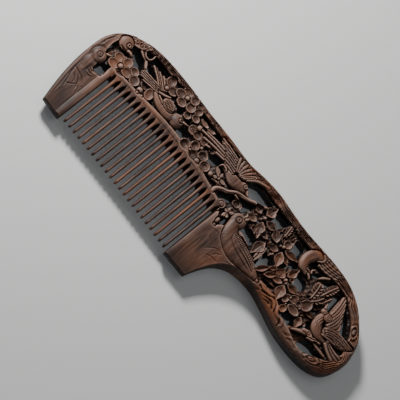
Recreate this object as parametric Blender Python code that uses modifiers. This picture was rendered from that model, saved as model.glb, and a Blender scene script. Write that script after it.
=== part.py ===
"""Carved wooden hair comb with planted teeth and a pierced, double-sided carved back.

The comb lies on its back face. +X runs from the rounded head end to the handle end, +Y from the
tooth tips to the back edge, +Z through the thickness. The origin is under the middle of the comb.
The plank (guards, spine, pierced field, rim and handle) is one piece of wood. Each tooth is a
piece of its own, with a tenon that sits in a mortise in the spine. Lengths are in metres.
"""
import math

import bmesh
import bpy
import numpy as np
from mathutils import Vector

# Row of teeth
TOOTH_COUNT = 23
TOOTH_PITCH = 0.00326
TOOTH_WIDTH = 0.00166
TOOTH_TIP_WIDTH = 0.00128
TOOTH_TIP_THICKNESS = 0.0030
TOOTH_REACH = 0.0296        # from the chord under the root arc to the tips of the end teeth
TIP_ARC_RISE = 0.0010       # the middle tips end this much higher than the end ones
ROOT_ARC_RISE = 0.0044      # the spine's tooth side is an arc this high over the row
TOOTH_EDGE_RADIUS = 0.00045

# Joint between a tooth and the spine
TENON_LENGTH = 0.0026
TENON_THICKNESS = 0.0056
SEAT_CLEARANCE = 0.0003

# Plank
THICKNESS = 0.0120
GUARD_TIP_THICKNESS = 0.0038
HEAD_GUARD_WIDTH = 0.0168
HEEL_GUARD_WIDTH = 0.0137
HANDLE_LENGTH = 0.0779      # from the heel guard's outer corner to the end
BACK_HEIGHT = 0.0302        # from the root chord to the highest point of the back edge
GUARD_REACH = 0.0310        # from the root chord to the guards' ends
HANDLE_DROP = 0.0135        # from the root chord to the lowest point of the handle
EDGE_RADIUS = 0.0016
GUARD_CORNER_RADIUS = 0.0022
TAPER_TOP = 0.0085          # the comb side starts to get thinner here, above the root chord
HEEL_TAPER_TOP = -0.0075    # on the heel guard it starts below the perched bird

# Carving
RELIEF_DEPTH = 0.0012       # the field lies this far below the rim on both faces
MOTIF_INSET = 0.0004        # the birds and blossoms stay this far below the rim
BLOSSOM_RADIUS = 0.0042
PETAL_DEPTH = 0.16          # how deep the notches between petals go, as a share of the radius

# Where the pieces lie along the comb, from the head end
ROW_START = HEAD_GUARD_WIDTH
TOOTH_GAP = TOOTH_PITCH - TOOTH_WIDTH
ROW_END = ROW_START + TOOTH_COUNT * TOOTH_PITCH + TOOTH_GAP
HEEL_END = ROW_END + HEEL_GUARD_WIDTH
COMB_END = HEEL_END + HANDLE_LENGTH

OVERSHOOT = 0.002           # a cutter reaches this far past what it cuts
HEAD_TOE = 0.33             # the head guard's flat end starts here, as a share of its width

# The back and handle, in field places (see the function place), from the head guard's toe to the
# heel guard's toe, clockwise
OUTLINE = [
    (0.27, -0.85), (0.18, -0.68), (0.07, -0.38), (0.01, -0.06), (0.00, 0.14), (0.06, 0.36),
    (0.22, 0.55), (0.47, 0.70), (0.82, 0.81), (1.06, 0.88), (1.18, 0.92), (1.36, 0.935),
    (1.56, 0.92), (1.76, 0.925), (1.92, 0.915), (2.25, 0.965), (2.90, 1.0), (3.14, 0.975),
    (3.28, 0.965), (3.42, 0.99), (3.54, 1.0), (3.66, 0.97), (3.78, 0.87), (3.87, 0.70),
    (3.945, 0.48), (3.99, 0.24), (3.995, 0.02), (3.97, -0.33), (3.91, -0.72), (3.83, -0.93),
    (3.72, -1.0), (3.58, -0.94), (3.45, -0.77), (3.34, -0.63), (3.24, -0.61), (3.15, -0.76),
    (3.085, -1.10), (3.040, -1.55), (3.008, -2.05),
]

# The carved field inside the rim
FIELD = [
    (0.42, 0.10), (0.28, 0.24), (0.38, 0.46), (0.70, 0.64), (1.05, 0.765), (1.30, 0.825),
    (1.60, 0.815), (1.90, 0.80), (2.50, 0.865), (3.10, 0.865), (3.42, 0.875), (3.62, 0.83),
    (3.76, 0.70), (3.86, 0.50), (3.90, 0.25), (3.87, -0.10), (3.74, -0.46), (3.60, -0.44),
    (3.46, -0.20), (3.30, -0.12), (3.12, -0.28), (2.80, -0.14), (2.45, 0.02), (2.22, 0.12),
    (1.90, 0.285), (1.70, 0.325), (1.50, 0.335), (1.30, 0.315), (1.10, 0.265), (0.92, 0.19),
]

# Openings right through the field: middle (u, v), half length in metres, half height as a share of
# the back height, and lean (how far the top leans forward, as a share of the half length)
OPENINGS = [
    (0.62, 0.02, 0.0022, 0.085, 0.0), (1.04, 0.565, 0.0062, 0.095, -0.4),
    (1.155, 0.750, 0.0060, 0.045, 0.0), (1.275, 0.320, 0.0012, 0.045, 0.0),
    (1.385, 0.560, 0.0028, 0.050, 0.0), (1.515, 0.425, 0.0044, 0.070, 0.0),
    (1.660, 0.805, 0.0060, 0.040, 0.0), (1.760, 0.560, 0.0037, 0.085, 0.0),
    (2.560, 0.740, 0.0070, 0.100, 0.3), (3.110, 0.740, 0.0043, 0.105, 0.0),
    (2.480, 0.470, 0.0042, 0.060, 0.8), (2.430, 0.015, 0.0016, 0.080, 0.0),
    (3.050, 0.190, 0.0040, 0.075, 0.0), (3.235, 0.125, 0.0024, 0.140, 0.0),
    (3.295, 0.660, 0.0024, 0.100, 0.0), (3.335, 0.385, 0.0032, 0.075, 0.3),
    (3.325, -0.075, 0.0050, 0.040, 0.0), (3.465, 0.375, 0.0034, 0.125, 0.0),
    (3.565, 0.740, 0.0026, 0.050, 0.5), (3.680, 0.620, 0.0021, 0.135, 0.0),
    (3.800, 0.530, 0.0022, 0.150, -0.4), (3.775, -0.130, 0.0050, 0.060, 0.4),
    (3.585, -0.100, 0.0044, 0.085, 0.0), (3.665, 0.020, 0.0018, 0.050, 0.0),
]

# Birds in low relief on both faces: middle, half length, half width and heading in degrees
BIRDS = {
    "guard_bird": (0.33, 0.03, 0.0075, 0.0034, 78),
    "corner_bird": (0.50, 0.49, 0.0058, 0.0036, 55),
    "scaled_bird": (1.37, 0.42, 0.0115, 0.0042, 4),
    "diving_bird": (1.86, 0.60, 0.0150, 0.0042, 3),
    "perched_bird": (3.06, -0.06, 0.0150, 0.0062, 155),
    "arched_bird": (3.400, 0.72, 0.0064, 0.0034, -70),
    "flying_bird": (3.73, 0.20, 0.0090, 0.0042, 140),
}

# Blossoms in low relief on both faces: middle, and radius as a share of BLOSSOM_RADIUS
BLOSSOMS = [
    (0.88, 0.25, 1.1), (1.10, 0.30, 0.8), (1.19, 0.27, 0.8), (1.33, 0.70, 1.0), (1.40, 0.78, 0.8),
    (1.47, 0.60, 0.7), (1.62, 0.36, 0.9), (1.70, 0.42, 0.9), (2.05, 0.20, 0.8), (3.03, 0.52, 1.2),
    (3.15, 0.44, 0.9), (3.24, 0.50, 1.1), (3.14, 0.22, 0.7), (3.39, 0.16, 0.9), (3.50, 0.10, 0.9),
    (3.57, 0.50, 1.1),
]

WOOD = {"plank": (0.16, 0.085, 0.058), "tooth": (0.19, 0.095, 0.055)}
WOOD_ROUGHNESS = 0.42


def place(u, v):
    """Field place to metres. u runs 0 to 4 over head guard, tooth row, heel guard and handle.
    v is 1 at the back edge, 0 at the root chord; below it, -1 is the bottom of the piece there."""
    x = np.interp(u, [0, 1, 2, 3, 4], [0, ROW_START, ROW_END, HEEL_END, COMB_END])
    drop = HANDLE_DROP if u > 2 else GUARD_REACH
    return x, v * (BACK_HEIGHT if v > 0 else drop)


def root_height(x):
    """The spine's tooth side: a parabola over the row, zero at both guards."""
    t = (2 * x - ROW_START - ROW_END) / (ROW_END - ROW_START)
    return ROOT_ARC_RISE * (1 - t * t)


def tip_height(x):
    t = (2 * x - ROW_START - ROW_END) / (ROW_END - ROW_START)
    return TIP_ARC_RISE * (1 - t * t) - TOOTH_REACH


def comb_half_thickness(y):
    """Half the thickness of the guards and the spine, thinner towards the tips."""
    t = (TAPER_TOP - y) / (TAPER_TOP + GUARD_REACH)
    return (THICKNESS - max(t, 0) * (THICKNESS - GUARD_TIP_THICKNESS)) / 2


def smooth_run(anchors, steps, closed):
    """Catmull-Rom curve through the anchors, as an array of points."""
    p = np.array([place(u, v) for u, v in anchors])
    ends = (p[-1:], p[:2]) if closed else (2 * p[:1] - p[1:2], 2 * p[-1:] - p[-2:-1])
    q = np.vstack([ends[0], p, ends[1]])
    a, b, c, d = q[:-3, None], q[1:-2, None], q[2:-1, None], q[3:, None]
    t = (np.arange(steps) / steps)[None, :, None]
    run = (2 * b + (c - a) * t + (2 * a - 5 * b + 4 * c - d) * t ** 2
           + (3 * b - a - 3 * c + d) * t ** 3) / 2
    run = run.reshape(-1, 2)
    return run if closed else np.vstack([run, p[-1:]])


def corner(x, y, start, steps=4):
    """A guard's rounded corner, a quarter turn clockwise from the angle start, in degrees."""
    angle = np.radians(start - np.linspace(0, 90, steps))
    return np.c_[x + GUARD_CORNER_RADIUS * np.cos(angle), y + GUARD_CORNER_RADIUS * np.sin(angle)]


def plank_outline():
    """The plank's edge, clockwise: back and handle, heel guard, root arc, head guard."""
    r = GUARD_CORNER_RADIUS
    toe = -GUARD_REACH + r
    row = np.linspace(ROW_END, ROW_START, TOOTH_COUNT + 2)
    return np.vstack([
        smooth_run(OUTLINE, 3, closed=False),
        corner(HEEL_END - r, toe, 0), corner(ROW_END + r, toe, -90),
        np.c_[row, root_height(row)],
        corner(ROW_START - r, toe, 0), corner(HEAD_TOE * HEAD_GUARD_WIDTH + r, toe, -90),
    ])


def opening_loop(u, v, half_length, half_height, lean, steps=10):
    """A leaning oval in the field."""
    turn = np.linspace(0, 2 * math.pi, steps, endpoint=False)
    middle = place(u, v)
    across = half_length * (np.cos(turn) + lean * np.sin(turn))
    return np.c_[middle[0] + across, middle[1] + half_height * BACK_HEIGHT * np.sin(turn)]


def bird_loop(u, v, half_length, half_width, heading, steps=16):
    """A bird from above: round head, full breast and a tail that gets narrower."""
    turn = np.linspace(0, 2 * math.pi, steps, endpoint=False)
    along = np.cos(turn)
    width = 0.30 + 0.75 * np.exp(-((along - 0.05) / 0.42) ** 2)
    width += 0.45 * np.exp(-((along - 0.78) / 0.20) ** 2)
    side = np.sign(np.sin(turn)) * np.abs(np.sin(turn)) ** 0.6 * width
    a = math.radians(heading)
    x, y = along * half_length, side * half_width
    middle = place(u, v)
    return np.c_[middle[0] + x * math.cos(a) - y * math.sin(a),
                 middle[1] + x * math.sin(a) + y * math.cos(a)]


def blossom_loop(u, v, share, steps=15):
    """Five petals: a circle whose radius swells and shrinks five times round."""
    turn = np.linspace(0, 2 * math.pi, steps, endpoint=False)
    radius = BLOSSOM_RADIUS * share * (1 + PETAL_DEPTH * np.cos(5 * turn))
    middle = place(u, v)
    return np.c_[middle[0] + radius * np.cos(turn), middle[1] + radius * np.sin(turn)]


def as_mesh(obj, collection):
    """The evaluated object as a closed mesh object in its place; the source is removed."""
    evaluated = obj.evaluated_get(bpy.context.evaluated_depsgraph_get())
    mesh = bpy.data.meshes.new_from_object(evaluated)
    made = bpy.data.objects.new(obj.name + "_mesh", mesh)
    made.matrix_world = obj.matrix_world
    name = obj.name
    bpy.data.objects.remove(obj)
    made.name = name
    collection.objects.link(made)
    clean = bmesh.new()
    clean.from_mesh(mesh)
    bmesh.ops.remove_doubles(clean, verts=clean.verts, dist=1e-6)
    bmesh.ops.recalc_face_normals(clean, faces=clean.faces)
    clean.to_mesh(mesh)
    clean.free()
    return made


def slab(name, loops, half_thickness, edge_radius, collection):
    """Flat piece from outline loops, centred on the comb's middle plane, with rounded edges."""
    curve = bpy.data.curves.new(name, "CURVE")
    curve.dimensions = "2D"
    curve.fill_mode = "BOTH"
    curve.extrude = half_thickness - edge_radius
    curve.bevel_depth = edge_radius
    curve.bevel_resolution = 1 if edge_radius > RELIEF_DEPTH else 0
    curve.offset = -edge_radius
    for loop in loops:
        spline = curve.splines.new("POLY")
        spline.points.add(len(loop) - 1)
        spline.use_cyclic_u = True
        for point, (x, y) in zip(spline.points, loop):
            point.co = (x, y, 0, 1)
    obj = bpy.data.objects.new(name, curve)
    obj.location.z = THICKNESS / 2
    collection.objects.link(obj)
    bpy.context.view_layer.update()
    return as_mesh(obj, collection)


def box(name, centre, size, collection):
    mesh = bpy.data.meshes.new(name)
    shape = bmesh.new()
    bmesh.ops.create_cube(shape, size=1)
    bmesh.ops.scale(shape, vec=size, verts=shape.verts)
    bmesh.ops.translate(shape, vec=centre, verts=shape.verts)
    shape.to_mesh(mesh)
    shape.free()
    obj = bpy.data.objects.new(name, mesh)
    collection.objects.link(obj)
    return obj


def boolean(target, tool, operation):
    """Applies a cut or a join at once, so that the next one works on its result."""
    modifier = target.modifiers.new(tool.name, "BOOLEAN")
    modifier.operation = operation
    modifier.object = tool
    modifier.solver = "EXACT"
    bpy.context.view_layer.update()
    evaluated = target.evaluated_get(bpy.context.evaluated_depsgraph_get())
    mesh = bpy.data.meshes.new_from_object(evaluated)
    target.modifiers.clear()
    target.data = mesh


def field_cutter(face, collection):
    """The space over the field on one face (+1 front, -1 back), down to the relief depth."""
    half = (RELIEF_DEPTH + OVERSHOOT) / 2
    tool = slab("field_cutter", [smooth_run(FIELD, 2, closed=True)], half, 0, collection)
    tool.location.z += face * (THICKNESS / 2 - RELIEF_DEPTH + half)
    return tool


def taper_cutter(face, start, end, top, collection):
    """A wedge over one face that makes the comb side thinner from the line top to the tips."""
    low = -GUARD_REACH - OVERSHOOT
    tool = box("taper_cutter", ((start + end) / 2, (top + low) / 2, 0),
               (end - start, top - low, 1), collection)
    slope = (THICKNESS - GUARD_TIP_THICKNESS) / 2 / (top + GUARD_REACH)
    for vertex in tool.data.vertices:
        surface = THICKNESS / 2 - slope * (top - vertex.co.y)
        vertex.co.z = surface if vertex.co.z * face < 0 else THICKNESS / 2 + OVERSHOOT
        vertex.co.z *= face
    tool.location.z = THICKNESS / 2
    return tool


def tooth_centre(index):
    return ROW_START + TOOTH_GAP + TOOTH_WIDTH / 2 + index * TOOTH_PITCH


def mortise_cutter(collection):
    """One mesh with a box for each tooth's tenon, a clearance larger than the tenon all round."""
    mesh = bpy.data.meshes.new("mortise_cutter")
    shape = bmesh.new()
    size = (TOOTH_WIDTH + 2 * SEAT_CLEARANCE, TENON_LENGTH + SEAT_CLEARANCE + OVERSHOOT,
            TENON_THICKNESS + 2 * SEAT_CLEARANCE)
    for index in range(TOOTH_COUNT):
        x = tooth_centre(index)
        top = root_height(x) + TENON_LENGTH + SEAT_CLEARANCE
        cube = bmesh.ops.create_cube(shape, size=1)["verts"]
        bmesh.ops.scale(shape, vec=size, verts=cube)
        bmesh.ops.translate(shape, vec=(x, top - size[1] / 2, THICKNESS / 2), verts=cube)
    shape.to_mesh(mesh)
    shape.free()
    tool = bpy.data.objects.new("mortise_cutter", mesh)
    collection.objects.link(tool)
    return tool


def build_plank(parts, cutters):
    """Guards, spine, rim, handle and pierced field, with both carved faces."""
    plank = slab("carved_back", [plank_outline()], THICKNESS / 2, EDGE_RADIUS, parts)
    openings = [opening_loop(*opening) for opening in OPENINGS]
    tools = [slab("opening_cutter", openings, THICKNESS / 2 + OVERSHOOT, 0, cutters)]
    tools += [field_cutter(face, cutters) for face in (1, -1)]
    for face in (1, -1):
        tools.append(taper_cutter(face, -OVERSHOOT, ROW_END, TAPER_TOP, cutters))
        tools.append(taper_cutter(face, ROW_END, HEEL_END + HEEL_GUARD_WIDTH, HEEL_TAPER_TOP,
                                  cutters))
    for tool in tools:
        boolean(plank, tool, "DIFFERENCE")
    half = THICKNESS / 2 - MOTIF_INSET
    motifs = [bird_loop(*bird) for bird in BIRDS.values()]
    motifs += [blossom_loop(*blossom) for blossom in BLOSSOMS]
    for loop in motifs:
        motif = slab("motif", [loop], half, RELIEF_DEPTH / 2, cutters)
        boolean(plank, motif, "UNION")
    boolean(plank, mortise_cutter(cutters), "DIFFERENCE")
    return plank


def build_tooth(index, parts):
    """A tooth that tapers to a rounded tip, with shoulders and a tenon at its root."""
    name = f"tooth_{index + 1:02d}"
    x = tooth_centre(index)
    tip, root = tip_height(x), root_height(x)
    tooth = box(name, (0, 0, 0), (TOOTH_WIDTH, 1, 1), parts)
    shape = bmesh.new()
    shape.from_mesh(tooth.data)
    for vertex in shape.verts:
        at_tip = vertex.co.y < 0
        half = TOOTH_TIP_THICKNESS / 2 if at_tip else comb_half_thickness(root)
        vertex.co.z = math.copysign(half, vertex.co.z)
        if at_tip:
            vertex.co.x = math.copysign(TOOTH_TIP_WIDTH / 2, vertex.co.x)
        vertex.co.y = tip if at_tip else root_height(x + vertex.co.x) - SEAT_CLEARANCE
    shape.normal_update()
    shoulder = max(shape.faces, key=lambda face: face.normal.y)
    for lift, half in ((0, TENON_THICKNESS / 2), (TENON_LENGTH, TENON_THICKNESS / 2)):
        region = bmesh.ops.extrude_face_region(shape, geom=[shoulder])["geom"]
        bmesh.ops.delete(shape, geom=[shoulder], context="FACES_ONLY")
        shoulder = next(part for part in region if isinstance(part, bmesh.types.BMFace))
        for vertex in shoulder.verts:
            vertex.co.z = math.copysign(half, vertex.co.z)
            if lift:
                vertex.co.y = root + lift
    rounding = shape.edges.layers.float.new("bevel_weight_edge")
    for edge in shape.edges:
        edge[rounding] = float(any(vertex.co.y < 0 for vertex in edge.verts))
    shape.to_mesh(tooth.data)
    shape.free()
    tooth.location = (x, 0, THICKNESS / 2)
    edges = tooth.modifiers.new("rounded_edges", "BEVEL")
    edges.width = TOOTH_EDGE_RADIUS
    edges.segments = 2
    edges.limit_method = "WEIGHT"
    return tooth


def wood(name, colour):
    material = bpy.data.materials.new(name)
    material.use_nodes = True
    shader = material.node_tree.nodes["Principled BSDF"]
    shader.inputs["Base Color"].default_value = (*colour, 1)
    shader.inputs["Roughness"].default_value = WOOD_ROUGHNESS
    shader.inputs["Metallic"].default_value = 0
    material.diffuse_color = (*colour, 1)
    return material


def centre_on_origin(objects):
    """Moves the comb under one empty, so that the origin lies below the middle of its box."""
    bpy.context.view_layer.update()
    corners = [obj.matrix_world @ Vector(corner) for obj in objects for corner in obj.bound_box]
    low = Vector(map(min, zip(*corners)))
    high = Vector(map(max, zip(*corners)))
    comb = bpy.data.objects.new("comb", None)
    objects[0].users_collection[0].objects.link(comb)
    for obj in objects:
        obj.parent = comb
    comb.location = (-(low.x + high.x) / 2, -(low.y + high.y) / 2, -low.z)


def build_comb():
    for obj in list(bpy.data.objects):
        bpy.data.objects.remove(obj)
    parts = bpy.data.collections.new("hair_comb")
    cutters = bpy.data.collections.new("cutters")
    for collection in (parts, cutters):
        bpy.context.scene.collection.children.link(collection)
    plank = build_plank(parts, cutters)
    teeth = [build_tooth(index, parts) for index in range(TOOTH_COUNT)]
    plank.data.materials.append(wood("plank_wood", WOOD["plank"]))
    for tooth in teeth:
        tooth.data.materials.append(wood("tooth_wood_" + tooth.name, WOOD["tooth"]))
    for piece in [plank, *teeth]:
        piece.data.shade_smooth()
        piece.data.set_sharp_from_angle(angle=math.radians(35))
    for tool in cutters.objects:
        tool.hide_render = True
        tool.display_type = "WIRE"
    centre_on_origin([plank, *teeth])


build_comb()
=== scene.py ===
import math
import bpy
import numpy as np
from mathutils import Matrix, Vector


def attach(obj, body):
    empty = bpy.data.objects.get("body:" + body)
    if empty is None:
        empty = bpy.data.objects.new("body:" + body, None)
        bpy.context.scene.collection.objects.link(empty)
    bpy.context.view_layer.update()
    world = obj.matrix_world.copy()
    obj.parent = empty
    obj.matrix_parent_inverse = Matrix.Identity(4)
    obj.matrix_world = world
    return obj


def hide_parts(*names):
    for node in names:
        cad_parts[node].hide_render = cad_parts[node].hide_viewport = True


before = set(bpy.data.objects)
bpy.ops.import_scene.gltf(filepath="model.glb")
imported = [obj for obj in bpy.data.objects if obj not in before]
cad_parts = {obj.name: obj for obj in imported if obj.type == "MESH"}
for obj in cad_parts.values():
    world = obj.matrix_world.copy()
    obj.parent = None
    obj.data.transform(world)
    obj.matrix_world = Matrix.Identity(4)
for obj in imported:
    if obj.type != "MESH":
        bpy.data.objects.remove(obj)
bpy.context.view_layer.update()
mm = 0.001

# Lengths here are millimetres. The carving is one height map, the height of the wood above
# the comb's middle plane on a grid, and it is the same on both faces.
block = {
    "cell": 0.2,           # grid spacing
    "half": 6.0,           # half the board's thickness
    "plainDrop": 0.35,     # plain wood lies this far below the highest carving
    "tipHalf": 1.9,        # half thickness at the end of the two guards
    "guardEnd": -31,       # the taper starts here
    "headTaperTop": 8.5,   # where the head guard reaches full thickness
    "heelTaperTop": -7.5,  # and the heel guard
    "edgeRadius": 1.4,     # rounding of the outer edge
    "gripRadius": 2.0,     # and how much more of it the handle has
    "thinLoss": 0.85,      # share of the height that the edge gives up where the board is thin
    "thickGain": 0.5,      # how much less of it where the board is thick
    "gripLoss": 0.38,      # and how much more on the handle
    "fieldHeight": 2.7,    # ground of the carved field
    "slant": 0.466,        # a detail's drawing moves back by this share of its height
    "drawnAt": 3.0,        # height at which the drawing is true
    "openingsAt": 5.0,     # height at which the openings are drawn
    "offset": 0.39,        # the drawing's zero from the comb's middle
    "edgeRise": 0.3,       # carving may rise this far above plain wood at the edge
    "innerRise": 0.6,      # and this much more 4 mm inside it
    "beadRise": 0.9,       # or this far beside the teeth
    "soften": 0.25,        # share of the carving that is smoothed
    "cutDepth": 0.9,       # how far the narrow cut round a shape goes below its edge
    "crease": 48,          # edges sharper than this many degrees stay sharp
    "slide": 0.62,         # most that an edge point moves, in cells
}
outline = [
    (-87, -31), (-87.6, -28.5), (-89.2, -22), (-90.8, -14), (-92, -5), (-92.4, 3), (-91.8, 10),
    (-89.3, 16), (-85, 20.8), (-80, 23.7), (-73, 26.3), (-64, 27.7), (-50, 28.2), (-35, 27.8),
    (-20, 28), (-6, 27.7), (4, 29.3), (14, 30.2), (24, 29.5), (34, 29.1), (45, 29.7), (56, 30.2),
    (66, 29.4), (75, 26.2), (82, 21.3), (88, 15.2), (91.5, 8.3), (92.4, 2), (91.4, -4),
    (88, -9.0), (81, -12.6), (71, -13.8), (60, -13.2), (50, -10.8), (41, -8.9), (33, -8.6),
    (26, -10.5), (20.5, -15.5), (17.3, -22), (15.2, -28.5), (14.6, -31),
]
row = {
    "count": 23, "first": -73.1, "pitch": 3.26, "gapTopEnd": 2.2, "gapTopRise": 2.5,
    "halfSpan": 38.5, "right": 0.9, "left": -75.7,
}


def unit(value):
    return np.clip(value, 0, 1)


def gapTop(x):
    # a shallow parabola: the top of the gaps between teeth, highest over the row's middle
    middle = row["first"] + row["pitch"] * (row["count"] - 1) / 2
    return row["gapTopEnd"] + row["gapTopRise"] * (1 - ((x - middle) / row["halfSpan"]) ** 2)


def curve(points, spanSteps=8, closed=False):
    # Catmull-Rom: between two points, the cubic whose slope at each is half the chord of its
    # neighbours; works on any number of columns
    p = np.asarray(points, float)
    if closed:
        p = np.vstack([p[-1], p, p[0], p[1]])
    else:
        p = np.vstack([2 * p[0] - p[1], p, 2 * p[-1] - p[-2]])
    t = (np.arange(spanSteps) / spanSteps)[None, :, None]
    a, b, c, d = p[:-3, None], p[1:-2, None], p[2:-1, None], p[3:, None]
    spans = b + 0.5 * t * ((c - a) + t * ((2 * a - 5 * b + 4 * c - d) + t * (3 * (b - c) + d - a)))
    line = spans.reshape(-1, p.shape[1])
    return line if closed else np.vstack([line, p[-2]])


xs = np.arange(-92.8, 92.81, block["cell"])
ys = np.arange(-31.4, 30.81, block["cell"])
gridX, gridY = np.meshgrid(xs, ys, indexing="ij")


def inside(loop, x, y):
    # signed distance to a closed polygon, positive inside: nearest of its edges, and the
    # even-odd rule for the sign
    best = np.full(x.shape, 1e9)
    odd = np.zeros(x.shape, bool)
    for (ax, ay), (bx, by) in zip(loop, np.roll(loop, -1, axis=0)):
        dx, dy = bx - ax, by - ay
        t = unit(((x - ax) * dx + (y - ay) * dy) / (dx * dx + dy * dy + 1e-12))
        best = np.minimum(best, (x - ax - t * dx) ** 2 + (y - ay - t * dy) ** 2)
        if ay != by:
            crosses = ((ay > y) != (by > y)) & (x < dx * (y - ay) / dy + ax)
            odd ^= crosses
    return np.where(odd, 1, -1) * np.sqrt(best)


def drawn(points, height):
    # from the drawing to the comb: forward by the slant's share of the height
    p = np.array(points, float)
    p[:, 1] += block["offset"] - block["slant"] * (np.asarray(height) - block["drawnAt"])
    return p


def drift(x, y, scale, phase=0.0):
    # a smooth wandering value from -1 to 1: four crossed sine waves of unrelated lengths
    u, v = x / scale, y / scale
    return 0.25 * (np.sin(1.7 * u + 0.6 * v + phase) + np.sin(-0.9 * u + 1.9 * v + 2 * phase)
                   + np.sin(2.9 * u - 1.3 * v + 3 * phase) + np.sin(0.8 * u + 3.1 * v - phase))


# plan of the board: outer edge, then the row's arched underside between the guards
side = curve(np.array(outline), 6)
under = np.linspace(row["right"], row["left"], 60)
arch = np.c_[under, gapTop(under) - 0.1]
plan = np.vstack([side, [(row["right"], -31.4)], arch, [(row["left"], -31.4)]])
plan[:, 1] += block["offset"]
edge = inside(plan, gridX, gridY)
print("plan of the board", len(plan), "points")

x, y = gridX, gridY - block["offset"]
# thickness of plain wood: each guard thins to its end, and the two tapers blend between them
aboveEnd = y - block["guardEnd"]
headSlope = unit(aboveEnd / (block["headTaperTop"] - block["guardEnd"]))
heelSlope = unit(aboveEnd / (block["heelTaperTop"] - block["guardEnd"]))
towardHeel = unit((x + 12) / 16)
slope = headSlope + (heelSlope - headSlope) * towardHeel ** 2
full = block["tipHalf"] + (block["half"] - block["plainDrop"] - block["tipHalf"]) * slope

field = drawn([
    (-86.3, 6.5), (-86.8, 14), (-85, 18), (-80, 21), (-74, 24), (-66, 25.2), (-57, 25.4),
    (-50, 26.6), (-35, 26.2), (-20, 25.7), (-12, 26), (0, 26.6), (8, 27.2), (17, 26.6),
    (27, 26.4), (35, 25.8), (41, 26.5), (50, 26.5), (60, 25.6), (68, 25.6), (73, 23.6),
    (79.5, 19.3), (84, 13.6), (86.6, 8), (87.5, 1), (84.5, -3), (80, -6), (74.5, -9.2),
    (69.5, -9.1), (62, -7.2), (55, -6.4), (50, -3), (42, -2.8), (34, -3), (31, -1), (20, 3.2),
    (14, 3.3), (9, 0), (4.6, -4.6), (3.2, 0), (-1, 4.6), (-10, 6.3), (-20, 7.9), (-33, 8.8),
    (-45, 8.6), (-55, 7.5), (-65, 6.3), (-76, 5.2), (-79.3, 4.8), (-78.9, -2.8), (-84.5, -3),
], 5.0)
inField = inside(curve(field, 3, True), gridX, gridY)
ground = block["fieldHeight"] + 0.55 * drift(gridX, gridY, 2.3) + 0.35 * drift(gridX, gridY, 0.9, 1)
relief = np.where(inField > 0, ground, full)
solid = edge.copy()


def window(line, margin):
    # the part of the grid within a margin of some points
    low = line[:, :2].min(0) - margin
    high = line[:, :2].max(0) + margin
    i = slice(max(np.searchsorted(xs, low[0]), 0), np.searchsorted(xs, high[0]))
    j = slice(max(np.searchsorted(ys, low[1]), 0), np.searchsorted(ys, high[1]))
    return (i, j), gridX[i, j], gridY[i, j]


def along(line, x, y):
    # distance to a polyline, the line's other columns at the nearest point, the run in mm
    # up to there, and the whole length
    start, span = line[:-1], np.diff(line, axis=0)
    long = np.hypot(span[:, 0], span[:, 1]) + 1e-9
    px = x[..., None] - start[:, 0]
    py = y[..., None] - start[:, 1]
    t = unit((px * span[:, 0] + py * span[:, 1]) / long ** 2)
    far = (px - t * span[:, 0]) ** 2 + (py - t * span[:, 1]) ** 2
    k = far.argmin(-1)
    pick = lambda a: np.take_along_axis(a, k[..., None], -1)[..., 0]
    t = pick(t)
    away = np.sqrt(pick(far))
    run = np.concatenate([[0], np.cumsum(long)])[k] + t * long[k]
    extra = start[k][..., 2:] + t[..., None] * span[k][..., 2:]
    return away, extra, run, long.sum()


def lay(at, height, gap, edgeHeight, distance, over):
    # put a shape on the block: its height inside, a narrow cut round it, and wood under it
    h, s = relief[at], solid[at]
    shape = distance > 0
    if gap:
        cut = (distance <= 0) & (distance > -gap)
        h[cut] = np.minimum(h, edgeHeight - block["cutDepth"])[cut]
    h[shape] = height[shape] if over else np.maximum(h, height)[shape]
    solid[at] = np.maximum(s, np.minimum(distance, 1.0))


def spread(value, count):
    # a value for each of count points, from one number or from a few along the way
    v = np.atleast_1d(np.asarray(value, float))
    return np.interp(np.linspace(0, 1, count), np.linspace(0, 1, len(v)), v)


def stroke(points, width, top, crown=0.7, barb=0.0, gap=0.3, over=True, barbPitch=0.62):
    # a rounded bar along a curve: height falls from the middle line as a circle's does, and
    # barbs are a cosine along it, swept back towards the sides
    n = len(points)
    tops = spread(top, n)
    line = curve(np.c_[drawn(points, tops), spread(width, n), tops], 6)
    at, x, y = window(line, np.max(width) + 0.6)
    away, extra, run, _ = along(line, x, y)
    w, h = extra[..., 0], extra[..., 1]
    r = unit(away / np.maximum(w, 1e-3))
    height = h - crown * (1 - np.sqrt(1 - r * r))
    if barb:
        height += barb * np.cos(2 * np.pi * (run + 0.8 * away) / barbPitch)
    lay(at, height, gap, h - crown, w - away, over)


def oval(cx, cy, rx, ry, turn, top, margin=0.6):
    # local place in a turned ellipse, and its radius in shares of the rim
    line = drawn([(cx, cy)], top)
    reach = max(rx, ry)
    at, x, y = window(line, reach + margin)
    c, s = math.cos(math.radians(turn)), math.sin(math.radians(turn))
    dx, dy = x - line[0, 0], y - line[0, 1]
    a, b = dx * c + dy * s, dy * c - dx * s
    return at, a, b, np.sqrt((a / rx) ** 2 + (b / ry) ** 2)


cupped = {"grow": 1.13, "cup": 1.0, "lip": 0.92, "lipFall": 0.4, "gap": 0.18}


def petal(cx, cy, rx, ry, turn, top, cup=cupped["cup"]):
    # a cupped petal: a bowl that falls from the lip as 1 - r to the power 3.2, deepest in the
    # middle, and outside the lip a short parabola down
    rx, ry, lip = rx * cupped["grow"], ry * cupped["grow"], cupped["lip"]
    at, a, b, r = oval(cx, cy, rx, ry, turn, top)
    bowl = unit(1 - (r / lip) ** 3.2)
    height = top - cup * bowl - cupped["lipFall"] * unit((r - lip) / (1 - lip)) ** 2
    lay(at, height, cupped["gap"], top - 0.6, (1 - r) * min(rx, ry), True)


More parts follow.
